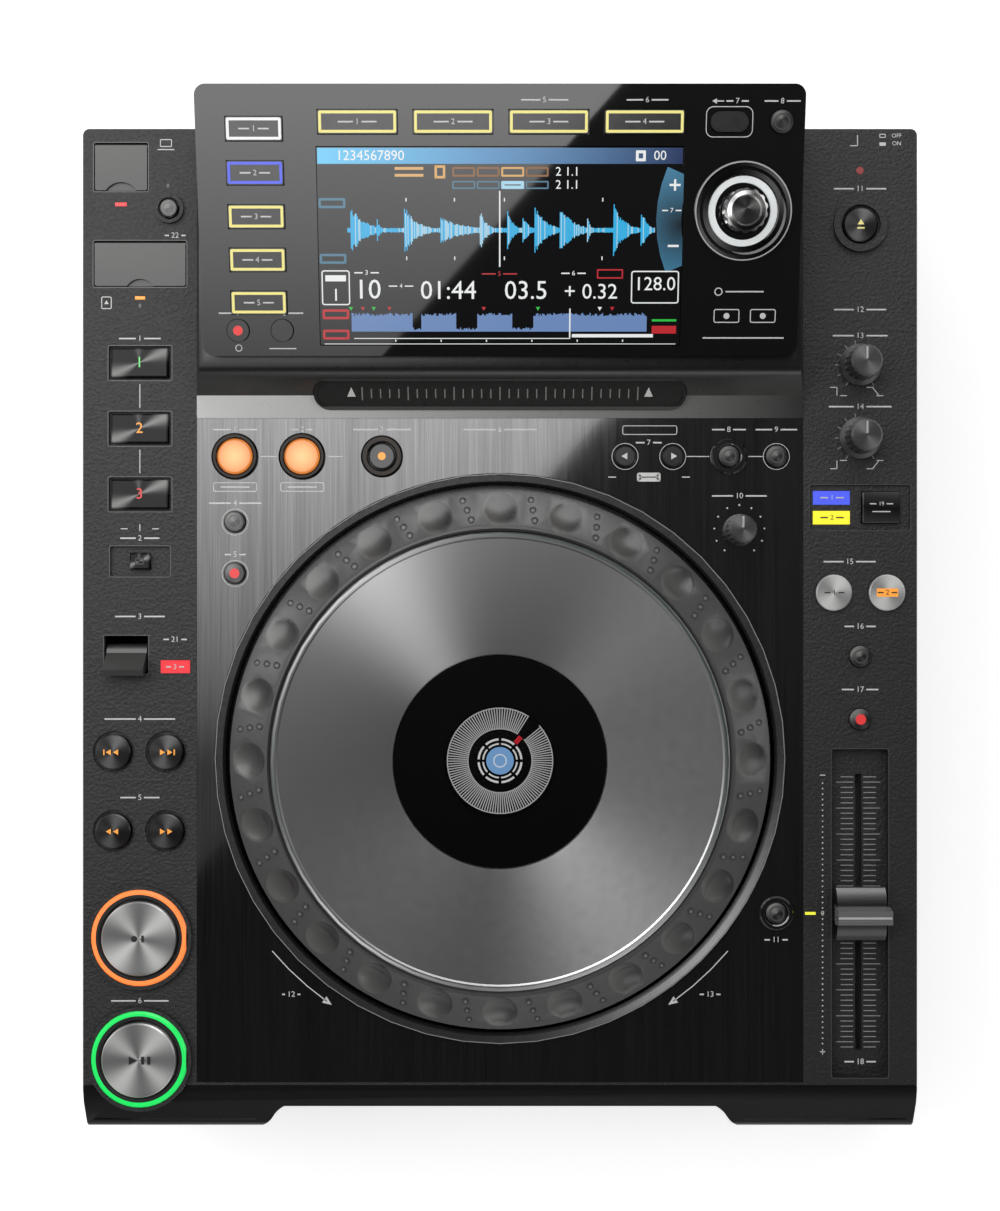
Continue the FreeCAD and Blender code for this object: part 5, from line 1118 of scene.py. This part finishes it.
# Knobs and fader
# Fluted black knobs with a white pointer line just below the top of their caps, and the wide fader
# cap with its bright metal faces, over the scale in the slot.
POINTER_DROP = 0.47
for node, top, length, skirt in (("touch_brake_knob", 12.4, 4.6, 8.8),
                                 ("release_start_knob", 12.4, 4.6, 8.8), ("jog_adjust_knob", 10.4, 4.2, 0)):
    x, y = centre(node)
    fluted = Finish(node + "_plastic", grey(0.02), 0.3)
    # Painted highlights: pale fans on the fluted cap, at the upper left and the lower right.
    painted_fans(fluted, (x, y), [(120, 8, 0.7), (300, 12, 0.5)], grey(0.03), grey(0.26))
    fluted.gloss(0.26, 0.38, 900.0)
    dressed(node, fluted)
    (Print(node + "_pointer", white_ink, node, "knob")
     .bar(x, y + length / 2 + 0.6, 0.85, length).lay(flat(DECK_TOP + top - POINTER_DROP)))
    if skirt:
        ticks = Print(node + "_ticks", grey_ink, "root", "black_plastic")
        for turn in (102, 128, 154, 180, 206, 236, 304):
            ticks.bar(*polar(x, y, skirt, turn), 1.6, 0.3, turn)
        ticks.lay(ON_DECK)
FADER_Y, FADER_FLOOR = -113.8, 65.0
scale_lines = Print("fader_scale", ink("fader_scale_grey", (0.36, 0.36, 0.35)), slot="black_plastic")
for i in range(-26, 27):
    away, width = (5.2, 6.6) if i % 5 == 0 else (4.4, 4.8)
    for side in (-1, 1):
        scale_lines.bar(FLANK + side * away, FADER_Y + i * 2.0, width, 0.32)
scale_lines.lay(flat(FADER_FLOOR + INK_LIFT))
DOT_X, DOT_SPAN = 123.6, 53.0
dots = Print("tempo_dots", white_ink, slot="black_plastic")
for i in range(-24, 25):
    dots.bar(DOT_X, FADER_Y + i * 2.08, 0.5, 0.5)
for y, w, h in ((DOT_SPAN, 2.0, 0.35), (-DOT_SPAN, 2.0, 0.35), (-DOT_SPAN, 0.35, 2.0)):
    dots.bar(DOT_X, FADER_Y + y, w, h)
dots.text("0", DOT_X, FADER_Y, 1.9).lay(ON_DECK)
cap_metal = Finish("fader_cap_metal", grey(0.4), 0.24, 0.3)
cap_metal.put("Base Color", cap_metal.node("ValToRGB", {"stops": [
    (0.0, grey(0.05)), (0.26, grey(0.006)), (0.32, grey(0.03)), (0.34, grey(0.22)), (0.66, grey(0.22)),
    (0.68, grey(0.01)), (0.85, grey(0.04)), (1.0, grey(0.10))]},
    {"Fac": cap_metal.axes(0, FADER_Y)[1] * 50.0 + 0.5}))
cap_metal.put("Roughness", cap_metal.noise(scale=(0.02, 1, 1), size=900.0) * 0.12 + 0.20)
dressed("tempo_knob", cap_metal)
(Print("fader_line", white_ink, "tempo_knob", "fader_cap")
 .bar(FLANK, FADER_Y, 20.2, 0.85).lay(flat(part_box("tempo_knob")[1].z / MM - 0.35)))

# Lamps and lit rings
# Clear light guides with a colour of their own: rings round cue, play and the selector, the lamps of
# the stick and card slots, and the small lit plates. All are one node, so the colour goes by place.
PLATE_TOP = 68.18
lens = Finish("lens_glow", grey(0.4), 0.3)
across, back, _ = lens.axes()
GUIDES = [((-160, -120, -200, -146), (0.01, 0.62, 0.10)), ((-160, -120, -146, -100), (0.95, 0.22, 0.05)),
          ((-130, -118, -26, -12), (0.60, 0.01, 0.02)), ((-160, -120, 110, 130), (0.70, 0.28, 0.02)),
          ((-160, -120, 150, 165), (0.60, 0.02, 0.02)), ((110, 130, -120, -108), (0.72, 0.70, 0.05)),
          ((110, 136, 34, 41.6), (0.80, 0.70, 0.03)), ((110, 136, 41.7, 50), (0.06, 0.09, 0.66)),
          ((70, 106, 120, 175), (0.50, 0.52, 0.52)), ((130, 146, 165, 175), (0.16, 0.008, 0.008))]
lamp_color = (0.0, 0.0, 0.0)
for (x0, x1, y0, y1), color in GUIDES:
    inside = (across > x0 * MM) * (across < x1 * MM) * (back > y0 * MM) * (back < y1 * MM)
    lamp_color = lens.mix(inside, lamp_color, color)
for ring_y in (-122.8, -169.2):
    lamp_color = lens.mix(lens.reach(-FLANK, ring_y) < 16.5 * MM, lamp_color, grey(0.01))
lens.put("Emission Color", lens.mix(lens.noise(size=400.0) * 0.25, lamp_color, (0.0, 0.0, 0.0)))
lens.put("Base Color", lamp_color)
lens.put("Emission Strength", 0.9)
dressed("light_guides", lens)
(Print("plate_figures", white_ink, slot="lens")
 .label("1", 127.2, 45.5, 9.0, 2.0).label("3", -124.5, -19.3, 7.0, 2.0).lay(flat(PLATE_TOP)))
Print("plate_figure_dark", print_black, slot="lens").label("2", 127.2, 37.9, 9.0, 2.0).lay(flat(PLATE_TOP))
